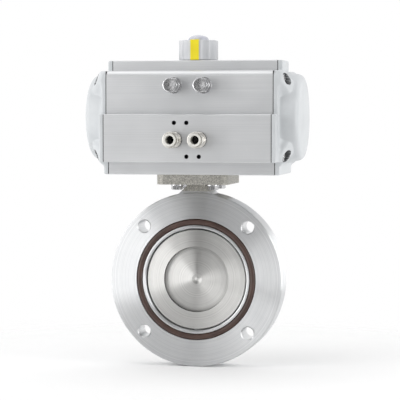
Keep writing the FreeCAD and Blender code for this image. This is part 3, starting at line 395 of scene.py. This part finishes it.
endCap = {
    "plate": 0.0042, "edge": 0.0016, "spacing": 0.0011, "skirtSteps": 5,
    "bossRise": 0.01825, "bossFoot": 0.0444, "bossTop": 0.0404, "bossSoft": 0.0055, "footSoft": 0.0025,
    "lugRise": 0.0072, "lugLean": 0.55, "lugRadius": 0.0088, "leanLeast": 0.25, "leanMost": 1.7,
    "padSoft": 0.0030, "padWall": 0.0028, "neck": 0.020, "bossInset": 0.001, "beyond": 0.05, "join": 12,
    "recess": 0.0055, "seatRise": 0.0030, "shadedRecessRim": 0.00015, "crowd": 0.0022, "recessWall": 0.00008,
    "headRadius": 0.005, "footHalf": 0.0365, "footRise": 0.0123, "portRise": 0.0031, "shoulderDrop": 0.0104,
    "ridgeHalf": 0.0195, "shoulderSoft": 0.0075, "cornerSoft": 0.0016,
    "flatEnd": 0.033, "bossStart": 0.034, "bossEnd": 0.0452, "flatRings": 12, "bossRings": 30,
    "outerRings": 34,
}


# The actuator's end outline in Y and Z, about the cylinder's axis, with soft corners.
def capOutline(low, high, axisZ):
    size = endCap
    step, shoulder = low.z + size["footRise"] - axisZ, high.z - size["shoulderDrop"] - axisZ
    bottom, top = low.z - axisZ, high.z - axisZ
    foot, ridge, port = size["footHalf"], size["ridgeHalf"], size["portRise"]
    corners = [(foot, bottom), (foot, step), (high.y, step), (high.y, shoulder), (ridge, shoulder),
               (ridge, top), (-ridge, top), (-ridge, shoulder), (-high.y, shoulder), (-high.y, port),
               (low.y, port), (low.y, step), (-foot, step), (-foot, bottom)]
    softness = [size["shoulderSoft"] if abs(z - shoulder) < tiny["same"] and abs(y) > ridge + tiny["same"]
                else size["cornerSoft"] for y, z in corners]
    return softCorners(corners, softness, closed=True)


# A smooth union of two distances: min(a, b) - k/4 max(0, 1 - |a - b| / k)^2.
def blendMin(first, second, width):
    near = np.maximum(0, 1 - np.abs(first - second) / width)
    return np.minimum(first, second) - near ** 2 * width / 4


# Height over the plate: the boss's turned profile, or the pads round the screws, whichever is higher.
# A pad leans out and down: it rises by lean (D - r) towards the axis, where D is the screw's own distance.
# The two meet as (boss^n + pad^n)^(1 / n).
def capHeight(y, z, screw):
    size = endCap
    radius = np.hypot(y, z)
    rise, foot, beyond, join = size["bossRise"], size["bossFoot"], size["beyond"], size["join"]
    lift, wall = size["lugRise"], size["padWall"]
    bossLine = softCorners([(0, rise), (size["bossTop"], rise), (foot, 0), (foot + beyond, 0)],
                           [0, size["bossSoft"], size["footSoft"], 0], 12)
    boss = np.interp(radius, bossLine[:, 0], bossLine[:, 1])
    lug = np.hypot(np.abs(y) - screw, np.abs(z) - screw) - size["lugRadius"]
    outline = blendMin(radius - (size["bossTop"] - size["bossInset"]), lug, size["neck"])
    padLine = softCorners([(-beyond, lift), (-wall / 2, lift), (wall / 2, 0), (beyond, 0)],
                          [0, size["padSoft"], size["padSoft"], 0], 8)
    lean = 1 + size["lugLean"] * (screw * math.sqrt(2) - radius) / lift
    lean = np.clip(lean, size["leanLeast"], size["leanMost"])
    pad = np.interp(outline, padLine[:, 0], padLine[:, 1]) * lean
    return (boss ** join + pad ** join) ** (1 / join)


# A star grid from the cap's centre to its outline: circles as far as the boss, then a blend to the outline.
# Points near each screw recess move to distance R + (d - R) |d - R| / w, so that its wall stands straight.
def capGrid(side):
    size = endCap
    name = "right" if side > 0 else "left"
    low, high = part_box("end_cap_" + name)
    screwLow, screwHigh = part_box("cap_screws_" + name)
    axisZ = (screwLow.z + screwHigh.z) / 2
    screw = screwHigh.y - size["headRadius"]
    start = min(abs(low.x), abs(high.x))
    line = capOutline(low, high, axisZ)
    line = refine(np.vstack([line, line[:1]]), size["spacing"])[:-1]
    far = np.hypot(line[:, 0], line[:, 1])
    unit = line / far[:, None]
    circle = np.r_[np.linspace(0, size["flatEnd"], size["flatRings"]),
                   np.linspace(size["bossStart"], size["bossEnd"], size["bossRings"])]
    share = np.linspace(0, 1, size["outerRings"])[1:]
    radius = np.vstack([np.broadcast_to(circle[:, None], (len(circle), len(far))),
                        circle[-1] + share[:, None] * (far - circle[-1])])
    y, z = radius * unit[:, 0], radius * unit[:, 1]
    sink = np.zeros_like(y)
    wall = size["recessWall"]
    for screwY in (-screw, screw):
        for screwZ in (-screw, screw):
            away = np.hypot(y - screwY, z - screwZ)
            gap = away - size["recess"]
            squeezed = np.where(np.abs(gap) < size["crowd"], gap * np.abs(gap) / size["crowd"], gap)
            factor = (size["recess"] + squeezed) / np.maximum(away, tiny["apart"])
            y, z = screwY + (y - screwY) * factor, screwZ + (z - screwZ) * factor
            sink = np.maximum(sink, 1 - np.clip((squeezed + wall) / (2 * wall), 0, 1))
    height = size["plate"] + capHeight(y, z, screw)
    inward = np.clip(far - radius, 0, size["edge"])
    height -= size["edge"] - np.sqrt(np.maximum(size["edge"] ** 2 - (size["edge"] - inward) ** 2, 0))
    height = height * (1 - sink) + np.minimum(height, size["seatRise"]) * sink
    depth = np.linspace(1, 0, size["skirtSteps"])[1:, None]
    skirt = height[-1] * depth
    rim = np.stack([skirt, np.broadcast_to(y[-1], skirt.shape), np.broadcast_to(z[-1], skirt.shape)], -1)
    middle = np.zeros((1, len(far), 3))
    grid = np.vstack([np.stack([height, y, z], -1), rim, middle])
    grid[..., 0] = side * (start + grid[..., 0])
    grid[..., 2] += axisZ
    return grid, axisZ, screw, start + size["seatRise"]


# Marks with 1 the points inside the screw recesses, where |(y, z) - screw| is under the recess's radius; the
# powder coat paints shade there.
def markShadedRecesses(cap, axisZ, screw):
    points = np.empty(len(cap.data.vertices) * 3)
    cap.data.vertices.foreach_get("co", points)
    points = points.reshape(-1, 3)
    away = np.hypot(np.abs(points[:, 1]) - screw, np.abs(points[:, 2] - axisZ) - screw)
    shadedRecess = cap.data.attributes.new("shadedRecess", "FLOAT", "POINT")
    shadedRecess.data.foreach_set("value", (away < endCap["recess"] + endCap["shadedRecessRim"]).astype(float))


capScrew = {"head": 0.005, "headHeight": 0.006, "socket": 0.005, "socketDepth": 0.0032, "shank": 0.003,
            "floorDrop": 0.0006, "mouthDrop": 0.0003, "mouthWide": 0.0005, "spacing": 0.001,
            "soft": (0, 0, 0.0001, 0.0002, 0.0007, 0.0002, 0, 0.0003, 0)}


# A socket screw: head with a soft rim, six-sided socket, plain shank.
def socketScrew(seat, end, centre, side):
    size = capScrew
    front, floor = seat + size["headHeight"], seat + size["headHeight"] - size["socketDepth"]
    hole = size["socket"] / 2
    corners = [(0, floor - size["floorDrop"]), (hole, floor), (hole, front - size["mouthDrop"]),
               (hole + size["mouthWide"], front), (size["head"], front), (size["head"], seat),
               (size["shank"], seat), (size["shank"], end), (0, end)]
    line = refine(softCorners(corners, size["soft"]), size["spacing"])
    line[:, 1] *= side

    def socket(radius, angle, along):
        inside = (radius <= hole + tiny["weld"]) & (np.abs(along) > seat)
        return np.where(inside, radius * hexRadius(angle, 2), radius)

    return turn(line, "x", centre, 48, socket)


for side, word in ((1, "right"), (-1, "left")):
    grid, axisZ, screw, seat = capGrid(side)
    cap = makePiece("castCap" + word.title(), [grid], "end_cap_" + word, finishes["cap_paint"], sharp=50)
    markShadedRecesses(cap, axisZ, screw)
    screwEnd = min(abs(corner.x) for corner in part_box("cap_screws_" + word))
    places = [(0, y, axisZ + z) for y in (-screw, screw) for z in (-screw, screw)]
    makePiece("capScrews" + word.title(), [socketScrew(seat, screwEnd, at, side) for at in places],
              "cap_screws_" + word, finishes["fastener_metal"])
print("stage: end caps")


hexPart = {"chamfer": 0.93, "hexCorner": 1 / math.cos(math.pi / 6), "beyond": 1.01, "slope": math.radians(30)}


# A hexagon's chamfer cone: its inner radius, a radius just past the corners, and the drop between the two.
def hexCone(flats):
    inner, outer = flats / 2 * hexPart["chamfer"], flats / 2 * hexPart["hexCorner"] * hexPart["beyond"]
    return inner, outer, (outer - inner) * math.tan(hexPart["slope"])


# Outline of a hexagon head from its face to its seat; the cone trims the corners that hexRadius leaves.
def hexLine(flats, face, seat):
    inner, outer, drop = hexCone(flats)
    return [(0, face), (inner, face), (outer, face + drop * np.sign(seat - face)), (outer, seat)]


# Past "limit" a radius is held to the hexagon's own; nearer the axis it stays.
def hexTrim(flats, limit):
    def trim(radius, angle, along):
        return np.where(radius > limit, np.minimum(radius, hexRadius(angle, flats)), radius)
    return trim


# Where a node's axis along Y passes: the middle of its box in X and Z.
def axisOf(node):
    low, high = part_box(node)
    return (low.x + high.x) / 2, 0, (low.z + high.z) / 2


stopBolt = {"shank": 0.004, "pitch": 0.00125, "threadDepth": 0.00065, "threadEnd": 0.044, "dish": 0.0003,
            "head": 0.0053, "runOut": 0.0005, "hexFrom": 0.0002, "spacing": 0.00022,
            "soft": (0, 0.0004, 0.0001, 0.0003, 0.0002, 0.0006, 0)}


# A stop screw: hexagon head, then a thread. The thread's radius drops by depth |2 t - 1|, where t is the
# fraction part of along / pitch + a / 2 pi.
# The box gives the head's width across corners where it is wider than tall, and across flats otherwise.
def stopBoltGrid(word):
    size = stopBolt
    low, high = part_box("stop_bolt_" + word)
    wide = high.x - low.x
    flats = wide * math.cos(math.pi / 6) if wide > high.z - low.z else wide
    seat = low.y + size["head"]
    line = hexLine(flats, low.y, seat)
    line[0] = (0, low.y + size["dish"])
    line += [(size["shank"], seat), (size["shank"], high.y), (0, high.y)]
    line = refine(softCorners(line, size["soft"]), size["spacing"])
    trim = hexTrim(flats, size["shank"] + size["hexFrom"])

    def shape(radius, angle, along):
        wave = np.abs(2 * np.mod(along / size["pitch"] + angle / (2 * math.pi), 1) - 1)
        onShank = np.abs(radius - size["shank"]) < tiny["same"]
        threaded = onShank & (along < -size["threadEnd"]) & (along > seat + size["runOut"])
        return trim(radius - threaded * size["threadDepth"] * wave, angle, along)

    return turn(line, "y", axisOf("stop_bolt_" + word), 96, shape)


for word in ("left", "right"):
    makePiece("stopScrew" + word.title(), [stopBoltGrid(word)], "stop_bolt_" + word,
              finishes["fastener_metal"])

stopCentres = [axisOf("stop_bolt_" + word) for word in ("left", "right")]


# A ring with both ends open to its hole: the profile runs round the section.
def ringGrid(corners, softness, axis, centre, shape=None, columns=96, spacing=0.0004):
    line = softCorners(corners, softness, closed=True)
    line = refine(np.vstack([line, line[:1]]), spacing)[:-1]
    return turn(line, axis, centre, columns, shape)


# A flat washer between two planes, with soft edges.
def washerGrid(size, front, back, axis, centre):
    corners = [(size["hole"], front), (size["radius"], front), (size["radius"], back), (size["hole"], back)]
    return ringGrid(corners, size["soft"], axis, centre, columns=64)


stopNut = {"flats": 0.013, "hole": 0.00405, "entry": 0.0007, "soft": 0.0003}


# A hexagon nut with a cone at each face and a small lead-in at each end of its hole.
def nutGrid(centre, front, back):
    flats, hole, entry = stopNut["flats"], stopNut["hole"], stopNut["entry"]
    inner, outer, drop = hexCone(flats)
    corners = [(hole, front + entry), (hole + entry, front), (inner, front), (outer, front + drop),
               (outer, back - drop), (inner, back), (hole + entry, back), (hole, back - entry)]
    return ringGrid(corners, stopNut["soft"], "y", centre, hexTrim(flats, hole + entry))


nutLow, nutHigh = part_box("stop_nuts")
makePiece("stopNuts", [nutGrid(at, nutLow.y, nutHigh.y) for at in stopCentres], "stop_nuts",
          finishes["fastener_metal"], ring=True)
washerLow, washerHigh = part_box("stop_seal_washers")
stopWasher = {"hole": 0.0041, "radius": (washerHigh.z - washerLow.z) / 2, "soft": 0.0005}
makePiece("stopWashers", [washerGrid(stopWasher, washerLow.y, washerHigh.y, "y", at) for at in stopCentres],
          "stop_seal_washers", finishes["fastener_metal"], ring=True)

padBolt = {"flats": 0.010, "head": 0.004, "shank": 0.003, "hexFrom": 0.0002, "spacing": 0.0004,
           "soft": (0, 0.0003, 0.0001, 0.0003, 0.0002, 0.0005, 0)}
padWasher = {"hole": 0.0032, "radius": 0.006, "soft": 0.0004}
boltLow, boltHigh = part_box("mounting_bolts")
padWasherLow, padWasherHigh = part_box("mounting_washers")
padBoltPlace = padWasherHigh.x - padWasher["radius"]


# An upright hexagon bolt whose face looks down.
def padBoltGrid(centre):
    seat = boltLow.z + padBolt["head"]
    line = hexLine(padBolt["flats"], boltLow.z, seat)
    line += [(padBolt["shank"], seat), (padBolt["shank"], boltHigh.z), (0, boltHigh.z)]
    line = refine(softCorners(line, padBolt["soft"]), padBolt["spacing"])
    return turn(line, "z", centre, 96, hexTrim(padBolt["flats"], padBolt["shank"] + padBolt["hexFrom"]))


padPlaces = [(x, y, 0) for x in (-padBoltPlace, padBoltPlace) for y in (-padBoltPlace, padBoltPlace)]
makePiece("padBolts", [padBoltGrid(at) for at in padPlaces], "mounting_bolts", finishes["fastener_metal"])
makePiece("padWashers", [washerGrid(padWasher, padWasherLow.z, padWasherHigh.z, "z", at) for at in padPlaces],
          "mounting_washers", finishes["fastener_metal"], ring=True)
print("stage: screws, nuts and washers")


fitting = {"ring": 0.0035, "shoulder": 0.0006, "neck": 0.0067, "flats": 0.014, "hexWidth": 0.005,
           "thread": 0.00595, "pocket": 0.0054, "pocketDepth": 0.0078, "seat": 0.0041, "seatDepth": 0.012,
           "channel": 0.0025, "flange": 0.0578, "hexFrom": 0.00002,
           "soft": (0.0003, 0.0009, 0.0005, 0.0004, 0.0003, *[0.0002] * 11)}
collet = {"bore": 0.00405, "entry": 0.0006, "head": 0.0062, "headDepth": 0.0011, "body": 0.0052,
          "slits": 4, "slitDepth": 0.0005, "slitShare": 0.12, "slitReach": 0.0003,
          "soft": (0.0003, 0.0004, 0.0006, 0.0004, 0.0002, 0.0003, 0.0002)}


# A push-in fitting: round release end, neck, hexagon, thread, and a stepped way through it.
def fittingGrid(word):
    size = fitting
    low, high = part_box("air_fitting_" + word)
    face, end = low.y, high.y
    ring = (high.z - low.z) / 2
    ringBack, seatFloor, pocketFloor = (face + size[key] for key in ("ring", "seatDepth", "pocketDepth"))
    hexBack = -size["flange"]
    hexFront = hexBack - size["hexWidth"]
    inner, outer, drop = hexCone(size["flats"])
    corners = [(size["pocket"], face), (ring, face), (ring, ringBack),
               (size["neck"], ringBack + size["shoulder"]),
               (size["neck"], hexFront), (inner, hexFront), (outer, hexFront + drop), (outer, hexBack - drop),
               (inner, hexBack), (size["thread"], hexBack), (size["thread"], end), (size["channel"], end),
               (size["channel"], seatFloor), (size["seat"], seatFloor), (size["seat"], pocketFloor),
               (size["pocket"], pocketFloor)]
    trim = hexTrim(size["flats"], ring + size["hexFrom"])
    return ringGrid(corners, size["soft"], "y", axisOf("air_fitting_" + word), trim)


# The collet's head and sleeve, slit by narrow notches in its bore.
def colletGrid(word):
    size = collet
    low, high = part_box("collet_" + word)
    headBack = low.y + size["headDepth"]
    bore, entry, head, body = size["bore"], size["entry"], size["head"], size["body"]
    corners = [(bore, low.y + entry), (bore + entry, low.y), (head, low.y), (head, headBack),
               (body, headBack), (body, high.y), (bore, high.y)]

    def slit(radius, angle, along):
        narrow = np.abs(np.sin(angle * size["slits"] / 2)) < size["slitShare"]
        return radius + size["slitDepth"] * narrow * (radius < bore + size["slitReach"])

    return ringGrid(corners, size["soft"], "y", axisOf("collet_" + word), slit)


tubeSeal = {"start": 0.0066, "lip": 0.0034, "bore": 0.0013, "floor": 0.0015, "gap": 0.00008, "soft": 0.0002}


# The black seal behind the collet: a cup on the tube's seat, with a hole in its floor.
def tubeSealGrid(word):
    size = tubeSeal
    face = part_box("air_fitting_" + word)[0].y
    outer, start = fitting["seat"] - size["gap"], face + size["start"]
    end = face + fitting["seatDepth"] - size["gap"]
    corners = [(size["lip"], start), (outer, start), (outer, end), (size["bore"], end),
               (size["bore"], end - size["floor"]), (size["lip"], end - size["floor"])]
    return ringGrid(corners, size["soft"], "y", axisOf("air_fitting_" + word), columns=48)


for word in ("left", "right"):
    addPiece("tubeSeal" + word.title(), [tubeSealGrid(word)], "housing",
             finishes["black_rubber"], ring=True)
    makePiece("airFitting" + word.title(), [fittingGrid(word)], "air_fitting_" + word,
              finishes["nickel_plate"], ring=True)
    makePiece("colletRing" + word.title(), [colletGrid(word)], "collet_" + word,
              finishes["collet_plastic"], ring=True)
print("stage: push-in fittings")


tappedHole = {"radius": 0.00205, "pitch": 0.0008, "threadDepth": 0.00035, "depth": 0.0100, "sink": 0.0004,
              "floor": 0.0004, "spacing": 0.00016, "clear": 0.00005}


# A blind tapped hole's lining: its bore's radius follows |2 frac(along / pitch + a / 2 pi) - 1|.
def tappedGrid(axis, mouth, inward, centre):
    size = tappedHole
    bore = size["radius"] - size["threadDepth"]
    along = mouth + inward * np.array([size["sink"], size["depth"]])
    floor = along[1] - inward * size["floor"]
    line = [(size["radius"], along[0]), (size["radius"], along[1]), (0, along[1]), (0, floor), (bore, floor),
            (bore, along[0])]
    line = refine(np.array(line + line[:1]), size["spacing"])[:-1]

    def thread(radius, angle, along):
        wave = np.abs(2 * np.mod(along / size["pitch"] + angle / (2 * math.pi), 1) - 1)
        return radius + (np.abs(radius - bore) < tiny["same"]) * wave * (size["threadDepth"] - size["clear"])

    return turn(line, axis, centre, 32, thread)


accessory = {"spacing": 0.024, "rows": 0.032, "topLength": 0.080, "topWidth": 0.030}
bodyLow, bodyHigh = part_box("actuator_body")
portZ = axisOf("air_fitting_left")[2]
half, rise = accessory["spacing"] / 2, accessory["rows"] / 2
portHoles = [(x, 0, portZ + z) for x, z in ((-half, rise), (0, rise), (0, -rise), (half, -rise))]
topX, topY = accessory["topLength"] / 2, accessory["topWidth"] / 2
topHoles = [(x, y, 0) for x in (-topX, topX) for y in (-topY, topY)]
lining = [tappedGrid("y", bodyLow.y, 1, at) for at in portHoles]
lining += [tappedGrid("z", bodyHigh.z, -1, at) for at in topHoles]
# The hole linings carry painted shade.
addPiece("tappedHoles", lining, "housing", holeShadeFinish, ring=True)
print("stage: tapped holes")


seal = {"section": 28, "around": 256, "flash": 0.00010, "flashWidth": 0.12, "inset": 0.00002}


# A moulded ring: circle of the cord's radius plus a thin flash ridge along the mould line.
def sealGrid(node):
    low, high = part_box(node)
    cord = (high.y - low.y) / 2
    middle = (high.x - low.x) / 2 - cord
    angle = np.arange(seal["section"]) * 2 * math.pi / seal["section"]
    flash = seal["flash"] * np.exp(-(np.sin(angle) / seal["flashWidth"]) ** 2) * (np.cos(angle) < 0)
    radius = cord + flash - seal["inset"]
    section = np.stack([middle + radius * np.cos(angle), (low.y + high.y) / 2 + radius * np.sin(angle)], 1)
    return turn(section, "y", (0, 0, 0), seal["around"])


for node, name in (("face_seal_front", "faceSealFront"), ("face_seal_back", "faceSealBack")):
    makePiece(name, [sealGrid(node)], node, finishes["brown_rubber"], ring=True, sharp=80)
print("stage: face seals")


knob = {"flutes": 12, "fluteDepth": 0.0011, "fluteShare": 0.78, "skirt": 0.0156, "skirtDepth": 0.0055,
        "topDrop": 0.0003, "edge": 0.0012, "lid": 0.0105, "groove": 0.0005, "grooveDepth": 0.0006,
        "fluteStart": 0.0165, "fluteCurve": 0.7, "spacing": 0.0006, "skirtSoft": (0.0006, 0.0003, 0.0005)}


# Side wall: R - depth (1 - (2 t / share)^2) where t is the distance to the flute's middle, in flutes.
def knobGrid():
    size = knob
    low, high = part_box("indicator_knob")
    radius = (high.x - low.x) / 2
    top, skirtTop = high.z - size["topDrop"], low.z + size["skirtDepth"]
    lid, groove, start = size["lid"], size["groove"], size["fluteStart"]
    corners = [(0, top), (lid, top), (lid + groove, top - size["grooveDepth"]), (lid + 2 * groove, top),
               (radius, top), (radius, low.z), (size["skirt"], low.z), (size["skirt"], skirtTop),
               (0, skirtTop)]
    line = refine(softCorners(corners, [0, 0, 0, 0, size["edge"], *size["skirtSoft"], 0]), size["spacing"])

    def flute(r, angle, along):
        middle = np.abs(np.mod(angle * size["flutes"] / (2 * math.pi) + 0.5, 1) - 0.5)
        scoop = np.clip(1 - (2 * middle / size["fluteShare"]) ** 2, 0, 1) ** size["fluteCurve"]
        outer = np.clip((r - start) / (radius - start), 0, 1)
        return r - size["fluteDepth"] * scoop * outer

    return turn(line, "z", (0, 0, 0), 288, flute)


dome = {"step": 0.0008, "ledge": 0.0003, "ledgeDrop": 0.0002, "rings": 20}


# A clear cap: a quarter ellipse from its top to a small ledge, then a straight foot.
def domeGrid():
    low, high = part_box("indicator_cap")
    radius, rise = (high.x - low.x) / 2, high.z - low.z
    foot, angle = low.z + dome["step"], np.linspace(0, math.pi / 2, dome["rings"])
    arch = np.stack([(radius - dome["ledge"]) * np.sin(angle),
                     foot + (rise - dome["step"]) * np.cos(angle)], 1)
    wall = np.array([(radius, foot - dome["ledgeDrop"]), (radius, low.z), (0, low.z)])
    return turn(np.vstack([arch, wall]), "z", (0, 0, 0), 96)


makePiece("indicatorKnob", [knobGrid()], "indicator_knob", finishes["knob_plastic"], sharp=32)
makePiece("indicatorDome", [domeGrid()], "indicator_cap", domeFinish)
print("stage: indicator")


stage = {"floorRadius": 0.48, "fade": 0.30, "edge": 0.97, "floor": (0.97, 0.97, 0.97), "spokes": 96,
         "rings": 12}


# A round floor whose edge fades out, so that no horizon line shows behind the object.
def makeFloor():
    radius = stage["floorRadius"]
    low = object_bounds()[0]
    rings, spokes = stage["rings"], stage["spokes"]
    angle = np.arange(spokes) * 2 * math.pi / spokes
    reach = np.linspace(0, radius, rings)[:, None]
    grid = np.stack([reach * np.cos(angle), reach * np.sin(angle), np.full((rings, spokes), low.z)], -1)
    mesh = bpy.data.meshes.new("floor")
    mesh.from_pydata(grid.reshape(-1, 3).tolist(), [], gridFaces(rings, spokes, False).tolist())
    floor = bpy.data.objects.new("floor", mesh)
    bpy.context.scene.collection.objects.link(floor)
    material, tree, shader = startFinish("paleFloor", Roughness=0.9, Specular_IOR_Level=0.1)
    shader.inputs["Base Color"].default_value = (*stage["floor"], 1)
    place = addNode(tree, "TexCoord").outputs["Object"]
    away = addNode(tree, "VectorMath", {0: place}, operation="LENGTH").outputs["Value"]
    tree.links.new(addNode(tree, "MapRange", {0: away, 1: radius * stage["edge"], 2: radius * stage["fade"]},
                           interpolation_type="SMOOTHERSTEP").outputs[0], shader.inputs["Alpha"])
    mesh.materials.append(material)


# Studio surround: bright walls left and right, a darker strip in front and above; white to the camera.
def makeWorld():
    sky = {"left": 1.22, "right": 0.60, "front": 0.02, "top": 0.10, "white": 1.0, "mirror": 0.20,
           "leftStart": 0.04, "leftEnd": 0.10, "rightStart": 0.05, "rightEnd": 0.18,
           "topStart": 0.6, "topEnd": 1.0, "backStart": -0.1, "backEnd": 0.4}
    world = bpy.data.worlds.new("studio")
    bpy.context.scene.world = world
    world.use_nodes = True
    tree = world.node_tree
    background = tree.nodes["Background"]
    way = addNode(tree, "TexCoord").outputs["Generated"]
    split = addNode(tree, "SeparateXYZ", {0: way})
    across = calc(tree, "ADD", split.outputs[0], sky["mirror"])
    leftWall = addNode(tree, "MapRange", {0: calc(tree, "MULTIPLY", across, -1.0), 1: sky["leftStart"],
                                          2: sky["leftEnd"], 3: sky["front"], 4: sky["left"]},
                       interpolation_type="SMOOTHSTEP").outputs[0]
    rightWall = addNode(tree, "MapRange", {0: across, 1: sky["rightStart"], 2: sky["rightEnd"],
                                           3: sky["front"], 4: sky["right"]},
                        interpolation_type="SMOOTHSTEP").outputs[0]
    wall = calc(tree, "MAXIMUM", leftWall, rightWall)
    overhead = addNode(tree, "MapRange", {0: split.outputs[2], 1: sky["topStart"], 2: sky["topEnd"], 3: 0.0,
                                          4: 1.0}).outputs[0]
    light = addNode(tree, "Mix", {0: overhead, 2: wall, 3: sky["top"]}).outputs[0]
    back = addNode(tree, "MapRange", {0: split.outputs[1], 1: sky["backStart"], 2: sky["backEnd"], 3: 0.0,
                                      4: 1.0}).outputs[0]
    light = addNode(tree, "Mix", {0: back, 2: light, 3: 1.0}).outputs[0]
    toCamera = addNode(tree, "LightPath").outputs["Is Camera Ray"]
    shown = addNode(tree, "Mix", {0: toCamera, 2: light, 3: sky["white"]}).outputs[0]
    tree.links.new(shown, background.inputs["Strength"])
    background.inputs["Color"].default_value = (1, 1, 1, 1)


lamps = {
    "leftBox": {"at": (-1.05, -0.75, 0.15), "aim": (0, 0, 0.05), "size": (0.55, 1.2), "power": 5.5},
    "rightBox": {"at": (1.05, -0.25, 0.22), "aim": (0, 0, 0.10), "size": (0.6, 0.9), "power": 5.5},
    "topBox": {"at": (-0.15, -0.15, 0.95), "aim": (0, 0, 0.15), "size": (0.9, 0.5), "power": 2.6},
}


# Turns an item so that its -Z points from place at target: tilt from height over reach, then a turn about Z.
def aimAt(item, place, target):
    back = np.array(place) - np.array(target)
    item.location = place
    item.rotation_euler = (math.atan2(math.hypot(back[0], back[1]), back[2]), 0,
                           math.atan2(back[0], -back[1]))


for name, lamp in lamps.items():
    light = bpy.data.lights.new(name, "AREA")
    light.shape = "RECTANGLE"
    light.size, light.size_y = lamp["size"]
    light.energy = lamp["power"]
    holder = bpy.data.objects.new(name, light)
    bpy.context.scene.collection.objects.link(holder)
    aimAt(holder, lamp["at"], lamp["aim"])

# The camera stands to the right of the front and a little above; aimAcross and aimUp are from the origin.
camera = {"turn": 11.74, "tilt": 2.81, "distance": 1.7285, "aimAcross": 0.00139, "aimUp": 0.07674,
          "lens": 159.2}
turnAngle, tiltAngle = math.radians(camera["turn"]), math.radians(camera["tilt"])
target = np.array([camera["aimAcross"] * math.cos(turnAngle), camera["aimAcross"] * math.sin(turnAngle),
                   camera["aimUp"]])
away = np.array([math.sin(turnAngle) * math.cos(tiltAngle), -math.cos(turnAngle) * math.cos(tiltAngle),
                 math.sin(tiltAngle)])
lens = bpy.data.cameras.new("camera")
lens.lens = camera["lens"]
eye = bpy.data.objects.new("camera", lens)
bpy.context.scene.collection.objects.link(eye)
aimAt(eye, target + away * camera["distance"], target)
bpy.context.scene.camera = eye
bpy.context.scene.view_settings.view_transform = "Standard"
makeFloor()
makeWorld()
print("stage: floor, light and camera")
